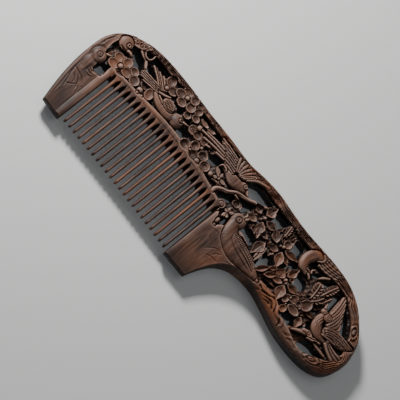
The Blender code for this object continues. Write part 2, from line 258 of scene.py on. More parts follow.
def bead(cx, cy, rx, top, ry=None, turn=0, crown=None, gap=0.3, over=True):
    # a dome: a circle's fall from the middle to the rim
    ry = ry or rx
    crown = min(rx, ry) * 0.75 if crown is None else crown
    at, a, b, r = oval(cx, cy, rx, ry, turn, top)
    q = unit(r)
    height = top - crown * (1 - np.sqrt(1 - q * q))
    lay(at, height, gap, top - crown, (1 - r) * min(rx, ry), over)


def leaf(x0, y0, x1, y1, width, top=4.9, cup=0.8, rib=0.3, gap=0.3, veins=0.0, fold=0.0, point=0.0):
    # a pointed leaf or petal: the half width is t to the power 1.2 times 1 - t to the power
    # 1.15, the height is hollow as a sine along it, with a middle rib or a fold to one side
    p = drawn([(x0, y0), (x1, y1)], top)
    at, x, y = window(p, width + 0.6)
    d = p[1] - p[0]
    long = math.hypot(*d)
    a = ((x - p[0, 0]) * d[0] + (y - p[0, 1]) * d[1]) / long ** 2
    b = ((y - p[0, 1]) * d[0] - (x - p[0, 0]) * d[1]) / long
    t = unit(a)
    half = width * 5.1 * t ** 1.2 * (1 - t) ** 1.15
    if point:
        # a bulge ending at 0.8 of the length, and beyond it a narrow straight tip
        bulge = np.sin(np.pi * unit(t / 0.8)) ** 0.9
        half = width * np.maximum(bulge, point * (1 - t) * (t > 0.5))
    r = np.abs(b) / np.maximum(half, 1e-3)
    rim = unit(1 - r ** 3)
    height = top - cup * rim * unit(1.25 * np.sin(np.pi * t))
    height += rib * np.exp(-(b / 0.28) ** 2)
    height += fold * b / width
    if veins:
        height += veins * np.cos(2 * np.pi * (a * long - 0.9 * np.abs(b)) / 0.8)
    distance = np.where((a > 0) & (a < 1), half - np.abs(b), -1.0)
    lay(at, height, gap, top - 0.6, distance, True)


def emboss(points, width, amount, at=5.2, taper=True):
    # raise or sink a line: a smooth bump across it, fading to its ends
    line = curve(drawn(points, at), 6)
    spot, x, y = window(line, width + 0.3)
    away, _, run, long = along(line, x, y)
    bump = unit(1 - (away / width) ** 2) ** 2
    if taper:
        bump *= unit(4 * run / long) ** 0.5 * unit(4 * (1 - run / long)) ** 0.5
    relief[spot] += amount * bump


def ring(cx, cy, rx, width, amount, ry=None, turn=0, at=5.2):
    # a raised or sunk line round an ellipse
    spot, a, b, r = oval(cx, cy, rx, ry or rx, turn, at, width + 0.6)
    away = np.abs(r - 1) * min(rx, ry or rx)
    relief[spot] += amount * unit(1 - (away / width) ** 2) ** 2


panel = {"crown": 0.8, "soft": 1.4, "gap": 0.3}


def plate(points, top):
    # a raised panel of any outline: its height falls as a parabola within soft of the edge
    loop = curve(drawn(points, top), 5, True)
    at, x, y = window(loop, 0.8)
    d = inside(loop, x, y)
    height = top - panel["crown"] * (1 - unit(d / panel["soft"])) ** 2
    lay(at, height, panel["gap"], top - panel["crown"], d, True)


def eye(cx, cy, r, at=5.8):
    # a bird's eye: a cut ring, a raised lid inside it and a pupil
    ring(cx, cy, r, 0.38, -0.55, at=at)
    ring(cx, cy, r * 0.55, 0.34, 0.3, at=at)
    spot, a, b, q = oval(cx, cy, 0.36, 0.36, 0, at)
    relief[spot] -= 0.6 * unit(1 - q * q)


def scales(cx, cy, rx, ry, turn, amount, pitch=1.15, at=5.6):
    # crossed waves inside an ellipse: small round feathers
    spot, a, b, r = oval(cx, cy, rx, ry, turn, at)
    wave = np.cos(2 * np.pi * (a + b * 0.6) / pitch) * np.cos(2 * np.pi * (a - b * 0.6) / pitch * 0.9)
    relief[spot] += amount * wave * unit(4 * (1 - r))


def hole(points):
    # signed distance inside a drawn opening, and where on the grid it is
    loop = curve(drawn(points, block["openingsAt"]), 5, True)
    spot, x, y = window(loop, 1.0)
    return spot, inside(loop, x, y)


def pierce(points, shrink=0.22):
    # an opening right through the board, a little smaller than drawn
    spot, d = hole(points)
    solid[spot] = np.minimum(solid[spot], shrink - d)


def sink(points, height, soft=0.4):
    # a hollow that doesn't go through: a straight slope, soft wide, down to the height
    spot, d = hole(points)
    t = unit(d / soft)
    h = relief[spot]
    relief[spot] = np.where(t > 0, np.minimum(h, h * (1 - t) + height * t), h)


def fan(starts, ends, width, top, bend=0.0, barb=0.1, gap=0.22):
    # feathers side by side, each a rounded bar bowed by bend times its length
    for (ax, ay), (bx, by) in zip(starts, ends):
        mx = (ax + bx) / 2 - bend * (by - ay)
        my = (ay + by) / 2 + bend * (bx - ax)
        stroke([(ax, ay), (mx, my), (bx, by)], width, top, 0.45, barb, gap)


def engrave(lines, width, amount, at):
    for line in lines:
        emboss(line, width, amount, at)


def strokes(lines, *values):
    for line in lines:
        stroke(line, *values)


def petals(rows, *values):
    # each row: middle, half lengths, turn in degrees and top
    for each in rows:
        petal(*each, *values)


def leaves(rows, *values):
    # each row: from, to, half width and, where values doesn't give it, top
    for each in rows:
        leaf(*each, *values)


# rim and guards
bark = {"pitch": 1.7, "depth": 0.62, "wander": 0.9}
wander = bark["wander"] * drift(gridX, gridY, 5.0, 2) * np.clip((x + 70) / 40, 0.25, 1)
wander += 0.35 * drift(gridX, gridY, 14.0, 5)
rimZone = (inField <= 0) & (((y > 18) & (x > -78)) | (x > 84))
ridges = np.sin(2 * np.pi * (edge / bark["pitch"] + wander))
swell = 0.75 + 0.4 * drift(gridX, gridY, 3.4, 4)
relief += np.where(rimZone, bark["depth"] * (1 - 2 * np.abs(ridges) ** 1.5) * swell - 0.15, 0)
relief += np.where(rimZone, 0.25 * drift(gridX, gridY, 1.6, 3), 0)
lowerRim = (inField <= 0) & (x > 36) & (y < 0) & (x <= 84)
groove = 0.15 + 0.45 * unit((60 - x) / 8)
relief += np.where(lowerRim, groove * np.sin(2 * np.pi * (edge / 2.3 + 1.9 * wander)), 0)

# openings, cut before the carving that crosses them
openings = [
    [(-84, -1), (-83.3, -2.7), (-80, -2.7), (-79.1, -1), (-79, 2.5), (-78.6, 4.3), (-81, 4.2),
     (-83.3, 3), (-83, 1.5)],
    [(-80.5, 21), (-76.5, 20.5), (-72.3, 19.9), (-70, 17.8), (-68.7, 16.2), (-69, 13.7),
     (-71, 13), (-73.5, 14), (-75.5, 15.9), (-78, 17), (-79.3, 18.5)],
    [(-70, 24.2), (-66, 24.8), (-60, 24.4), (-58.2, 23.8), (-58.5, 22.4), (-62.5, 21.8),
     (-66.8, 21.6), (-69, 21.5), (-70.3, 22.5)],
    [(-69.3, 21), (-66.5, 21), (-63, 19.3), (-60, 17.4), (-61, 17), (-67, 16.8), (-68.2, 17.5),
     (-69.5, 19.3)],
    [(-87.3, 12.5), (-86.4, 15.8), (-85.8, 13), (-86.3, 9.5), (-87, 8.2)],
    [(-57, 10.8), (-54.5, 9.5), (-54, 8), (-56.8, 7.5), (-57.5, 8.8)],
    [(-50.5, 19.5), (-48.5, 18.4), (-46, 17.4), (-44.5, 15.8), (-43, 17), (-42.6, 19.2),
     (-45, 19.2), (-47.5, 19.8)],
    [(-40, 11), (-38, 9.9), (-33, 9.7), (-31.8, 11.5), (-32.5, 14), (-36, 14.8), (-39.3, 13.8)],
    [(-39.5, 17.2), (-36, 17), (-35.8, 19), (-38.6, 18.8)],
    [(-29.5, 25.3), (-26, 26), (-22, 25.5), (-19.5, 24.3), (-18, 23.2), (-21, 23.4), (-25, 23.9),
     (-28.5, 24.3)],
    [(-21, 17.2), (-17, 19.2), (-13.6, 19.4), (-13, 17.5), (-14.5, 15.5), (-15.5, 14),
     (-19.5, 13.5), (-21, 15.5)],
    [(0.8, 23), (3.5, 25.5), (8, 26.4), (13, 26.2), (16.8, 25.4), (17, 23.5), (15, 22.4),
     (12.5, 21.2), (9.8, 19.7), (8.5, 18.7), (6, 17.3), (4.3, 18.6), (2.9, 20.6)],
    [(18.8, 24.5), (19.5, 26.3), (23.5, 26.3), (27.6, 25.4), (26.3, 22), (25.3, 19.5),
     (24.9, 18.9), (20.6, 19.2), (20.4, 22)],
    [(1.8, 13.6), (4.5, 15), (8, 16.2), (10.8, 18.1), (11.6, 15.6), (10, 12.8), (8.6, 10.8),
     (7.3, 11.6), (6.3, 13.2), (4, 13.6)],
    [(-5.2, 6.3), (-5, 8.5), (-2.8, 9.9), (0, 11.7), (2.5, 12.8), (3, 11), (2.2, 9), (0, 7.6),
     (-1.5, 7.3), (-2.5, 5.6), (-4, 5.4)],
    [(4.7, 1.5), (5.3, 3.3), (6.5, 5), (7.3, 5.6), (8.3, 3.5), (9, 0.5), (8.7, -1.3), (6.8, -1),
     (5.3, 0.3)],
    [(14.2, 8.8), (15.5, 9.8), (19.5, 9), (23.6, 8.3), (23.8, 6.2), (24, 4.5), (21.8, 3.4),
     (16, 3.4), (14, 4), (13.6, 5.8)],
    [(30, 8.6), (32, 9.6), (35, 9.4), (36.6, 8.6), (37.3, 6.6), (36, 5.5), (34.9, 4.2),
     (33.8, 2), (32.6, 0), (31.2, -0.8), (30.6, 2), (29.9, 5.5)],
    [(33.5, 24), (36, 25), (40.5, 24.3), (41.2, 21), (42.6, 18.2), (40.5, 17.7), (36.2, 17.4),
     (36.2, 19.6), (35, 22)],
    [(38, 9.8), (38.3, 12.5), (40.5, 14.5), (42.5, 16.8), (45, 16.2), (44.7, 13.5),
     (43.5, 11.5), (41, 10.3), (39.5, 9.3)],
    [(36, -1.5), (38, -0.3), (42, 0.4), (45.2, 0.9), (45, -0.5), (43, -1.7), (38, -2.5),
     (36, -2.6)],
    [(46.2, 16), (49.5, 15.4), (52.8, 15), (54.5, 12.5), (55, 10), (53.8, 7.6), (50.5, 8.1),
     (48, 8.4), (47.3, 10.5), (47.8, 12.5), (46.5, 14)],
    [(46.5, 22.4), (48, 24), (50.2, 23.6), (49.5, 22), (47.7, 21.4)],
    [(51.5, 21.5), (53, 22.8), (56, 23.8), (57.2, 22.5), (55, 20.3), (53.5, 19.2), (51.7, 19)],
    [(56.5, 20.3), (58.8, 23.8), (61, 25), (61.6, 23), (60, 20.8), (59, 19.4), (57, 19)],
    [(64.9, 20.5), (66, 23.7), (68, 24.3), (69, 22), (69.8, 18), (69.7, 14.5), (68, 14.6),
     (66.8, 15.8), (65.3, 15.8), (64.6, 17.8)],
    [(72.3, 22.5), (74.5, 21.9), (78.2, 19.4), (80.6, 16.5), (82.8, 14), (82.9, 11.8),
     (79.6, 11.3), (78, 13.3), (75.4, 17), (73.6, 20.2)],
    [(70.3, -4.8), (73.5, -2.8), (78, -2.6), (83, -2.3), (82, -4.3), (79.8, -5.6), (76.7, -7.2),
     (74.5, -8.6), (71, -8.8), (69.8, -7)],
    [(55.2, -1.8), (58.5, -1.2), (61, -0.7), (63, -2.2), (64, -4.2), (62, -5.4), (61.5, -6.7),
     (58, -6.8), (55.7, -6), (55, -4.5)],
    [(65.3, 2.6), (66.6, 4.4), (68.2, 4.9), (69.8, 2), (69.9, 0.3), (68, -0.8), (66.8, -2.2),
     (65.6, -2.8), (66.3, 0)],
    [(62.4, 7.3), (63, 9), (64.8, 10.3), (66, 12.8), (66.4, 10), (65.6, 7.6), (64.5, 6.4)],
    [(79.2, -0.6), (80.6, 1.4), (83, 0.9), (84.2, -0.2), (82, -1.2)],
]
for opening in openings:
    pierce(opening)
hollows = [
    ([(-86, 7), (-86, 14), (-79, 14.2), (-73, 13), (-66, 12.6), (-61, 12.6), (-58, 8), (-66, 6.4),
      (-77, 5.6)], 3.2),
    ([(-74.6, 22.4), (-73, 21.2), (-71.2, 21.4), (-70.5, 23.6), (-72, 24)], 1.6),
    ([(-35.5, 25.2), (-33, 26.3), (-30.2, 26), (-31, 25.2), (-33.5, 25)], 2),
    ([(80.5, 4.8), (84, 6.2), (87.2, 7.4), (87.8, 5), (86, 4.6), (83, 5)], 2),
    ([(-14, 8.3), (-10, 7.6), (-6.5, 8.6), (-7, 11), (-12, 9.6)], 2),
]
for loop, height in hollows:
    sink(loop, height)
print("openings", len(openings))

# bead along the top of the teeth, and the guards' own raised borders
emboss([(-78.4, 3.6), (-76, 4.2), (-70, 4.9), (-60, 5.9), (-50, 6.7), (-40, 7.1), (-33, 7.1),
        (-20, 6.3), (-10, 4.9), (-2, 3.6), (1.5, 2.8)], 1.8, 0.5, 5.4, False)
emboss([(-77.7, 3.5), (-77.6, -6), (-77.6, -18), (-77.6, -31)], 1.9, 0.3, 4.5, False)
emboss([(-79.8, 0), (-79.7, -8), (-79.7, -18), (-79.6, -28)], 0.5, -0.16, 4)
emboss([(-90.2, 0), (-89.2, -12), (-86.5, -27)], 0.5, -0.16, 4)
guardLines = [
    [(-89.5, -9.5), (-88.2, -14), (-86, -20)], [(-90, -9.5), (-87, -9.7), (-84, -10.5), (-81, -12.5)],
    [(-86.5, -18), (-84.8, -16.5), (-83, -14.5)], [(-80, -18), (-80.8, -16), (-82, -14)],
    [(-87.8, -11.5), (-85.5, -13.5), (-84.4, -16)], [(-85.9, -11.2), (-83.5, -13.2), (-81.8, -16.5)],
]
engrave(guardLines, 0.42, -0.36, 4.2)
engrave([
    [(-86, -3), (-84, -3.9), (-82, -3.4), (-80.4, -4.3)], [(-85.5, -4.5), (-83, -5.1), (-81.2, -4.8)],
    [(-85, -6.2), (-83, -6.5), (-81.4, -5.7)],
], 0.5, 0.55, 5.2)
emboss([(2.6, 0), (2.8, -12), (3, -30)], 1.6, 0.12, 4, False)
emboss([(4.6, -6), (4.4, -16), (4.2, -28)], 0.5, -0.08, 4)
engrave([
    [(10.5, -15), (12.8, -12), (15, -10.5), (19, -10)], [(15, -14.5), (16.5, -12), (18.5, -10.5)],
    [(4.2, -6.2), (7, -5.9), (10, -5.2), (13, -7.4), (18, -9.8)],
    [(12.5, -16.5), (15.5, -15), (20, -14.2)], [(7, -9), (10, -10), (13, -12.2)],
    [(21, -11.5), (24, -10.2), (28, -9.4)],
], 0.34, -0.24, 5.2)
print("rim and guards")

# head end
ring(-86.9, 3.6, 3.9, 1.1, -0.28, at=5.6)
bead(-86.9, 3.6, 3.9, 6, crown=2.3, gap=0, over=False)
stroke([(-87, 0.8), (-87.3, -2.5), (-87.3, -7)], [2.6, 3.3, 2.6], [5.6, 5.15, 4.25], 1.2,
       gap=0, over=False)
stroke([(-84.8, 6.4), (-83.2, 7.2), (-82, 8.1)], [0.6, 0.4, 0.15], 4.9, 0.3)
eye(-86.8, 3.8, 1.35)
emboss([(-84.2, 0.2), (-85.6, -0.4), (-87.4, -0.3), (-89.2, 0.6)], 0.9, -0.45, 5.2)
stroke([(-89.4, 8.6), (-89.4, 11), (-88.8, 14.5), (-86.8, 17.8)], [1.2, 1.8, 1.9, 1.5], 5.7, 0.9,
       gap=0, over=False)
petals([
    (-80.3, 10.5, 2.4, 2, 10, 4.6), (-79.9, 6.4, 2.6, 2.2, 5, 4.9), (-74.8, 5.5, 1.8, 1.1, 20, 4.6),
    (-75.8, 11.8, 2.15, 2.35, 0, 5.2), (-70.8, 11.7, 2.1, 1.9, -10, 4.7),
    (-72.7, 8.5, 2.7, 2.1, 12, 5.2), (-67.8, 8.8, 2.3, 2.3, 0, 5.1), (-62.7, 12, 2.6, 2, 10, 4),
    (-58.8, 10.5, 2, 2.7, 15, 5.1),
])
bead(-76.8, 8.3, 1.35, 5.7)
bead(-63, 8.4, 1.5, 5.3)
ring(-63, 8.4, 1.9, 0.4, 0.5)
bead(-63, 6.3, 0.9, 4.8)
bead(-60.5, 6.9, 0.8, 4.6)
stroke([(-77, 21.4), (-74, 20.3), (-71.5, 19.7), (-69.8, 18.1), (-68.4, 16.6)],
       [0.5, 0.6, 0.6, 0.7, 0.5], 4.9, 0.4)
stroke([(-75.6, 22.6), (-74, 21.2), (-71.8, 20.3)], 0.45, 4.8, 0.3)
stroke([(-74.6, 24), (-74.6, 22.4), (-73, 21.1), (-71, 21.2), (-70.2, 23), (-70.4, 24.8)], 0.38, 5, 0.3)
leaf(-85.5, 19.6, -72.4, 26, 2.2, 5.4, 0.3, 0.2, veins=0.16)
for cx, cy, r in [(-80.9, 22, 0.7), (-78.6, 22.6, 0.8), (-76.4, 23.4, 0.7), (-79.8, 23.6, 0.7),
                  (-74.6, 25, 0.8)]:
    ring(cx, cy, r, 0.4, 0.55, at=5.3)
bead(-83.4, 18, 3.6, 5.95, crown=1.6, gap=0.3)
eye(-81.5, 17.7, 1.35)
stroke([(-80, 15.7), (-78.5, 15.9), (-77.2, 15.2)], [0.7, 0.6, 0.2], 5, 0.4)
emboss([(-84.5, 14.4), (-81, 14.2), (-77, 14.3)], 0.5, -0.9, 4.5)
engrave([
    [(-90.4, 7), (-90, 11.5), (-88.4, 15.5)], [(-88, 16.4), (-86.6, 19.2), (-83.6, 21.6)],
    [(-89.6, 14.6), (-88, 18), (-85.6, 20.6)],
], 0.5, -0.45, 5.6)
print("head end")

# first long bird and the plum cluster
plate([(-66.6, 21.4), (-62, 21.7), (-58.5, 22.4), (-54.4, 21), (-54.6, 17.8), (-56.5, 15.8),
       (-60.5, 18)], 4.4)
fan([(-66, 21.5), (-63.6, 21.6), (-61, 21.8), (-58.5, 22), (-67.4, 21.4)],
    [(-56.8, 16.6), (-56.2, 17.2), (-55.6, 17.8), (-54.9, 18.4),
    (-56.8, 15.6)], 0.42, [4.4, 4.9], 0.02, 0.1)
petal(-56.8, 23.2, 2.2, 2.4, 20, 4.3)
stroke([(-58.5, 14.3), (-55.5, 12.7), (-51.5, 11.8), (-47, 11.5), (-43, 12.8)],
       [0.8, 1.6, 2.1, 2.1, 2], [5.3, 5.5, 5.5, 5.2], 1.5, gap=0.2)
fan([(-68.6, 16.2), (-69, 15.2), (-68.8, 14.3), (-68, 13.5), (-65.8, 12.6)],
    [(-59, 17), (-57.6, 16.1), (-56.8, 15.5), (-56.4, 15), (-56.4, 14.5)], 0.42, [4.7, 5.2], 0, 0.12)
bead(-41.8, 13.7, 3.5, 6, crown=2.3, gap=0, over=False)
eye(-40.5, 14.9, 1.25)
stroke([(-39.2, 15.2), (-37.5, 15.7), (-35.9, 16.4)], [0.6, 0.4, 0.15], 5.1, 0.3)
bead(-49.3, 15.2, 3.7, 5.75, ry=2.7, turn=-12, crown=0.9, gap=0.35)
scales(-49.3, 15.2, 3.5, 2.5, -12, 0.42, 1.35)
ring(-49.3, 15.2, 3.4, 0.3, -0.25, 2.4, -12)
stroke([(-56.6, 15.2), (-54, 16.3), (-51.4, 17.9)], [0.5, 0.6, 0.4], 5.3, 0.3)
stroke([(-55.5, 14.2), (-53.5, 13.6), (-51.8, 12.8)], [0.4, 0.5, 0.3], 5.5, 0.3)
petals([
    (-53, 20.9, 2.3, 2, 15, 4.7), (-39.5, 27, 1.5, 1.4, 0, 5.1), (-40.6, 19.1, 1.7, 1.7, 0, 4.7),
    (-38.3, 24.5, 1.6, 2, -15, 5.1), (-36.9, 21.3, 1.9, 1.6, -10, 5), (-48.2, 26.6, 2.4, 1.8, 5, 5.2),
    (-49.9, 23.5, 2.6, 2.1, 12, 5.1), (-46.9, 20.9, 2.3, 1.9, -5, 5.2), (-42.3, 22.9, 2.2, 2.3, 10, 5.3),
    (-43.4, 26.6, 1.9, 2.1, -10, 5.4), (-33.7, 16.9, 2.2, 2.1, 0, 5), (-30.4, 16.9, 2.2, 1.9, 20, 4.2),
])
bead(-46.5, 24.6, 1.15, 5.8)
bead(-56, 19.6, 1.15, 5.1)
bead(-32.4, 20.2, 1.4, 5.3)
ring(-33.7, 16.9, 1, 0.3, 0.35, 0.9)
leaf(-35.5, 23.4, -29.6, 23.2, 1.1, 4.5)
print("plum cluster")

# second long bird
leaf(-30.2, 22.4, -25.8, 24.4, 1, 4.5)
petal(-26.2, 17.2, 1.7, 1.5, 0, 4.6)
stroke([(-12.5, 17.9), (-8.5, 18.2), (-4.6, 17.4), (-1, 18)], [1, 2.1, 2.9, 2.5],
       [5.1, 5.6, 5.95, 5.9], 1.7, gap=0.2)
plate([(-22.6, 26.4), (-16, 26.6), (-10.2, 25.9), (-7, 22.2), (-6.6, 18.6), (-12.4, 18.6),
       (-15.4, 20.4)], 4.9)
fan([(-28.8, 21.7), (-31, 20.4), (-28, 18.8), (-24.9, 17.3)],
    [(-18, 23.2), (-16.6, 21.9), (-14.9, 20.7), (-14.6, 19.8)], 0.56, [4.8, 5.3], 0.02, 0.12)
fan([(-22.2, 26.1), (-20.3, 24.9), (-18, 23.9), (-16.4, 22.7), (-14.7, 21.5), (-14.6, 20.4), (-12, 19.2)],
    [(-10.8, 25.3), (-10.5, 24.4), (-9.8, 23.3), (-9, 22.3), (-8, 21.2), (-7.2, 20.1), (-7, 18.8)],
    0.5, [5, 5.6], 0.02, 0.16, gap=0.12)
strokes([
    [(-6.9, 21.2), (-8.7, 24), (-10, 26.9)], [(-6.2, 21.5), (-7.2, 24.2), (-7.8, 27.2)],
    [(-5.5, 21.5), (-5.7, 24.4), (-5.6, 27.4)], [(-4.8, 21.2), (-4.2, 24.2), (-3.2, 27.4)],
    [(-4.1, 21), (-2.7, 24.2), (-0.6, 27.8)], [(-3.2, 21.2), (-0.9, 24.4), (2.1, 28)],
    [(-2.2, 21.5), (0.9, 25.2), (5.4, 28.5)], [(-0.6, 22.3), (3, 26.4), (8.6, 28.9)],
], [0.4, 0.72, 0.72], [5.6, 5.5, 5.35], 0.4, 0.05, 0.1)
bead(0.7, 18.9, 2.7, 6, crown=1.6, gap=0, over=False)
eye(1.5, 19.7, 1.35)
stroke([(3.3, 18.8), (4.8, 17.9), (6, 17.3)], [0.8, 0.5, 0.15], 5.2, 0.3)
stroke([(-13.7, 16.6), (-12.9, 17.9), (-11, 17.9), (-9.8, 17.1)], [0.3, 0.45, 0.5, 0.3], 5.4, 0.3)
leaves([
    (-9.3, 12, -14.2, 15.2, 1), (-9.3, 12, -5, 12.2, 0.9), (-9.6, 11.8, -12.4, 10.4, 0.8),
    (-9, 11.6, -7.8, 8.9, 0.8), (-9.4, 12.3, -9.8, 15.2, 0.8),
], 4.6, 0.4)
bead(-9.3, 11.9, 0.7, 5)
stroke([(-11.4, 9.2), (-9, 9.9), (-6.4, 10.5)], [0.2, 0.4, 0.2], 4.8, 0.3)
petals([
    (-27.7, 12.9, 2.1, 2.1, 0, 5), (-21.8, 12.7, 2.3, 2.1, 0, 5), (-31.3, 9.4, 2.5, 2.3, 0, 5.1),
    (-25.1, 9.2, 2.6, 2.2, 0, 5.2), (-17.8, 10.1, 2.35, 2.3, 0, 5.4), (-21, 17.6, 1.3, 1.2, 0, 4.2),
], 1.6)
ring(-17.8, 10.1, 1.3, 0.3, 0.4, at=5)
bead(-22, 8.8, 1.3, 5.5)
bead(-27.9, 9.6, 0.7, 5.3)
bead(-24.9, 14.6, 0.8, 4.9)
bead(-13.5, 10.2, 1.25, 5)
stroke([(-7.3, 5.6), (-7, 8), (-5, 10), (-2.6, 11.3), (-0.6, 13.4), (1.2, 15), (4.5, 16.2), (7, 17.2),
        (9.5, 18.8), (12.5, 20.3), (15, 21.8), (16.8, 23.6)],
       [1, 1.05, 0.95, 0.9, 0.9, 0.9, 0.85, 0.8, 0.8, 0.7, 0.6, 0.3], [5.6, 5.5, 5.5, 5.5, 5.4], 0.8)
emboss([(-6.8, 7), (-4.6, 9.6), (-2, 11.1), (0.2, 13.4), (3, 15.2), (7, 16.6)], 0.35, -0.4, 5.4)
stroke([(1, 13.2), (4, 13), (6.3, 12.4), (7.6, 10.6)], 0.38, 4.9, 0.2)
petal(4.6, 10.8, 1.9, 1.6, 10, 3.8)
print("second long bird")

# perched bird
bead(0, 5.1, 2.25, 5.3, crown=0.5)
ring(0, 5.1, 1.5, 0.42, -0.7, at=5.2)
bead(-0.6, 2.2, 0.75, 5.4, over=False)
bead(1, 1.9, 0.7, 5.3, over=False)
leaves([
    (4.9, 4.8, 4.2, 7.6, 0.8), (5.2, 5, 7.4, 7.2, 0.8), (4.8, 4.6, 2.8, 5.4, 0.7),
    (4.9, 4.4, 6.6, 2.6, 0.9), (4.6, 4.3, 4.3, 1.4, 0.8),
], 5, 0.4)
bead(4.6, -1.3, 1, 5.1, ry=1.6)
bead(5.1, -4, 0.9, 4.9, ry=0.7)
stroke([(10.8, 7.4), (11.4, 3), (14.2, -1.2), (20.5, -3), (27.5, -3.3), (33.5, -4.2), (37.5, -4.9)],
       [3.3, 3.1, 4.9, 5.7, 4.6, 2.6, 0.9], [5.8, 5.9, 6.1, 6.1, 5.9, 5.5, 5.1], 2, gap=0.15)
bead(11.2, 7, 3.9, 6, crown=2, gap=0, over=False)
stroke([(12, 9.6), (12.2, 11), (11.4, 12.3)], [1, 0.75, 0.3], 5.3, 0.5, gap=0)
stroke([(13, 9.8), (13.5, 11), (13.9, 12.1)], [0.8, 0.6, 0.3], 5.2, 0.4)
eye(11, 7.1, 1.55, 6)
emboss([(14.3, 2.6), (14.2, 0.6), (15.2, -1.4), (18, -3), (24, -4.3), (32, -5.2)], 0.5, -0.5, 6)
scales(18.2, 0.9, 4, 3, -8, 0.5, 1.4, 6)
engrave([
    [(21.5, 2.6), (25, 1.8), (30, 0)], [(21.8, 1.2), (26, 0.3), (31.5, -1.6)],
    [(21.8, -0.3), (26, -1.1), (32.6, -2.9)], [(20.4, -1.9), (26, -2.5), (33.4, -4)],
], 0.45, -0.7, 6)
for k in range(10):
    emboss([(21.8 + k, 2.3 - 0.22 * k), (22.3 + k, 1.4 - 0.25 * k)], 0.28, -0.28, 6, False)
    emboss([(21.6 + k, 0.7 - 0.2 * k), (22.1 + k, -0.1 - 0.22 * k)], 0.28, -0.28, 6, False)
    emboss([(21 + k, -0.7 - 0.2 * k), (21.6 + k, -1.6 - 0.18 * k)], 0.28, -0.25, 6, False)
leaf(28.7, 10, 29.3, -0.6, 0.85, 5, 0.3, 0.1, veins=0.06)
leaf(27.5, 6, 28.1, 0.6, 0.5, 4.8, 0.2, 0.1)
print("perched bird")

# pointed blossoms of the handle
# each petal: from, to, half width and top; the small ones lie under the others
pointed = [
    (20.5, 14.5, 24.2, 15.6, 1.1, 4.5), (29, 17.8, 27.2, 21.6, 1.1, 4.6), (31, 11.5, 31.6, 7.9, 1.1, 4.5),
    (37, 13.4, 40.5, 12.2, 1, 4.6), (42.6, 5, 40.3, 3.8, 0.9, 4.6), (49.5, 4.6, 51.6, 6.4, 1, 4.7),
    (43.2, 9.2, 41.8, 12, 0.9, 4.5), (50, 2.6, 50.6, -1.2, 0.9, 4.5), (56.6, 7.4, 53.8, 9.4, 1, 4.7),
    (22.8, 16.8, 22.6, 20.2, 0.9, 4.4), (14.4, 15.6, 11.8, 16, 0.9, 4.3),
    (60.6, 1.8, 62.6, 3.6, 0.9, 4.6), (15.2, 17.8, 10.8, 18.9, 1.5, 4.4),
    (16.6, 13.6, 11.4, 12.8, 1.5, 4.9), (17.4, 19.4, 18.3, 25.2, 2.1, 5.2),
    (19.2, 17.4, 25.7, 18.7, 1.6, 5.1), (18.4, 15.9, 21.8, 9.6, 1.9, 5.2),
    (16.8, 11.8, 19.8, 9.2, 1.2, 4.6), (29.8, 14.8, 25.2, 18.6, 1.9, 4.9),
    (24.9, 13.6, 22.4, 11.4, 1.3, 4.8), (25.8, 12.8, 28.4, 10.6, 1.1, 4.4),
    (26.4, 10.4, 25.6, 2.8, 2.2, 5.1), (33.2, 12.9, 28.2, 11.2, 1.5, 4.4),
    (33.8, 17.4, 34.6, 23, 1.3, 4.5), (34.6, 15.6, 42.5, 17.4, 1.35, 4.9),
    (34.4, 14.2, 37.9, 7.4, 1.8, 5.2), (32, 17, 30.2, 21.2, 1.4, 4.7), (31.2, 18.2, 31.5, 24.6, 0.9, 4.5),
    (27.2, 20.2, 30, 25.6, 1, 4.6), (32.2, 21, 33.6, 25.4, 0.7, 4.4),
    (44.6, 7.1, 38.8, 7, 1.9, 4.5), (44.9, 8.6, 45.9, 14.8, 1.7, 5),
    (46.8, 8.2, 47.8, 10.6, 1, 5), (47.2, 6.2, 53.9, 7.4, 1.5, 5.1),
    (46.6, 4.8, 48.9, -2.3, 2.1, 5.5), (45.6, 4.6, 39.8, 2.4, 1.3, 4.9),
    (32.3, -2.3, 36.4, 5, 1.25, 5), (36.2, 4.2, 38.9, 7.1, 0.9, 4.9),
    (36.9, 0, 41.2, 5.5, 1.25, 5), (55.2, 6.2, 56.3, 9.4, 0.8, 4.9), (60.8, 5.2, 67.8, 6.2, 1, 4.9),
    (62.6, 1.6, 64.4, -3.9, 1.5, 5), (57, 5.6, 58.6, 9.8, 0.9, 4.6),
]
pointedShape = {"longer": 0.22, "wider": 1.24, "cup": 1.25, "rib": -0.25, "gap": 0.22, "tip": 1.5}
for x0, y0, x1, y1, w, top in pointed:
    leaf(x0, y0, x1 + pointedShape["longer"] * (x1 - x0), y1 + pointedShape["longer"] * (y1 - y0),
         w * pointedShape["wider"], top, pointedShape["cup"], pointedShape["rib"], pointedShape["gap"],
         fold=0.3, point=pointedShape["tip"])
petals([
    (33.9, 18.6, 1.9, 1.9, 0, 5), (51.8, 1.5, 1.35, 2.3, 0, 5), (54.8, 4.2, 2.1, 2, 20, 5.1),
    (60.3, 7, 2.4, 2.9, -15, 5.1), (57.9, 0.4, 3, 1.8, 0, 5.2), (54.2, -3, 1.6, 1.9, 0, 5.2),
    (57.6, 4.4, 1.3, 1.5, 0, 4.7), (66, 0, 0.8, 0.9, 0, 4.2),
])
for each in [(17.9, 18, 0.85, 5.6), (17, 16.2, 0.55, 5.4), (33.4, 16.4, 0.85, 5.5),
             (32.2, 15.6, 0.5, 5.3), (45.6, 7, 0.9, 5.5), (46.7, 5.9, 0.6, 5.3), (53, 3.4, 0.6, 5.2),
             (25.4, 12.3, 0.6, 5.1), (53.6, -0.4, 0.5, 5), (59.4, 3.5, 0.6, 5)]:
    bead(*each)

leaflet = {"width": 0.95, "sweep": 0.9, "cup": 0.45}


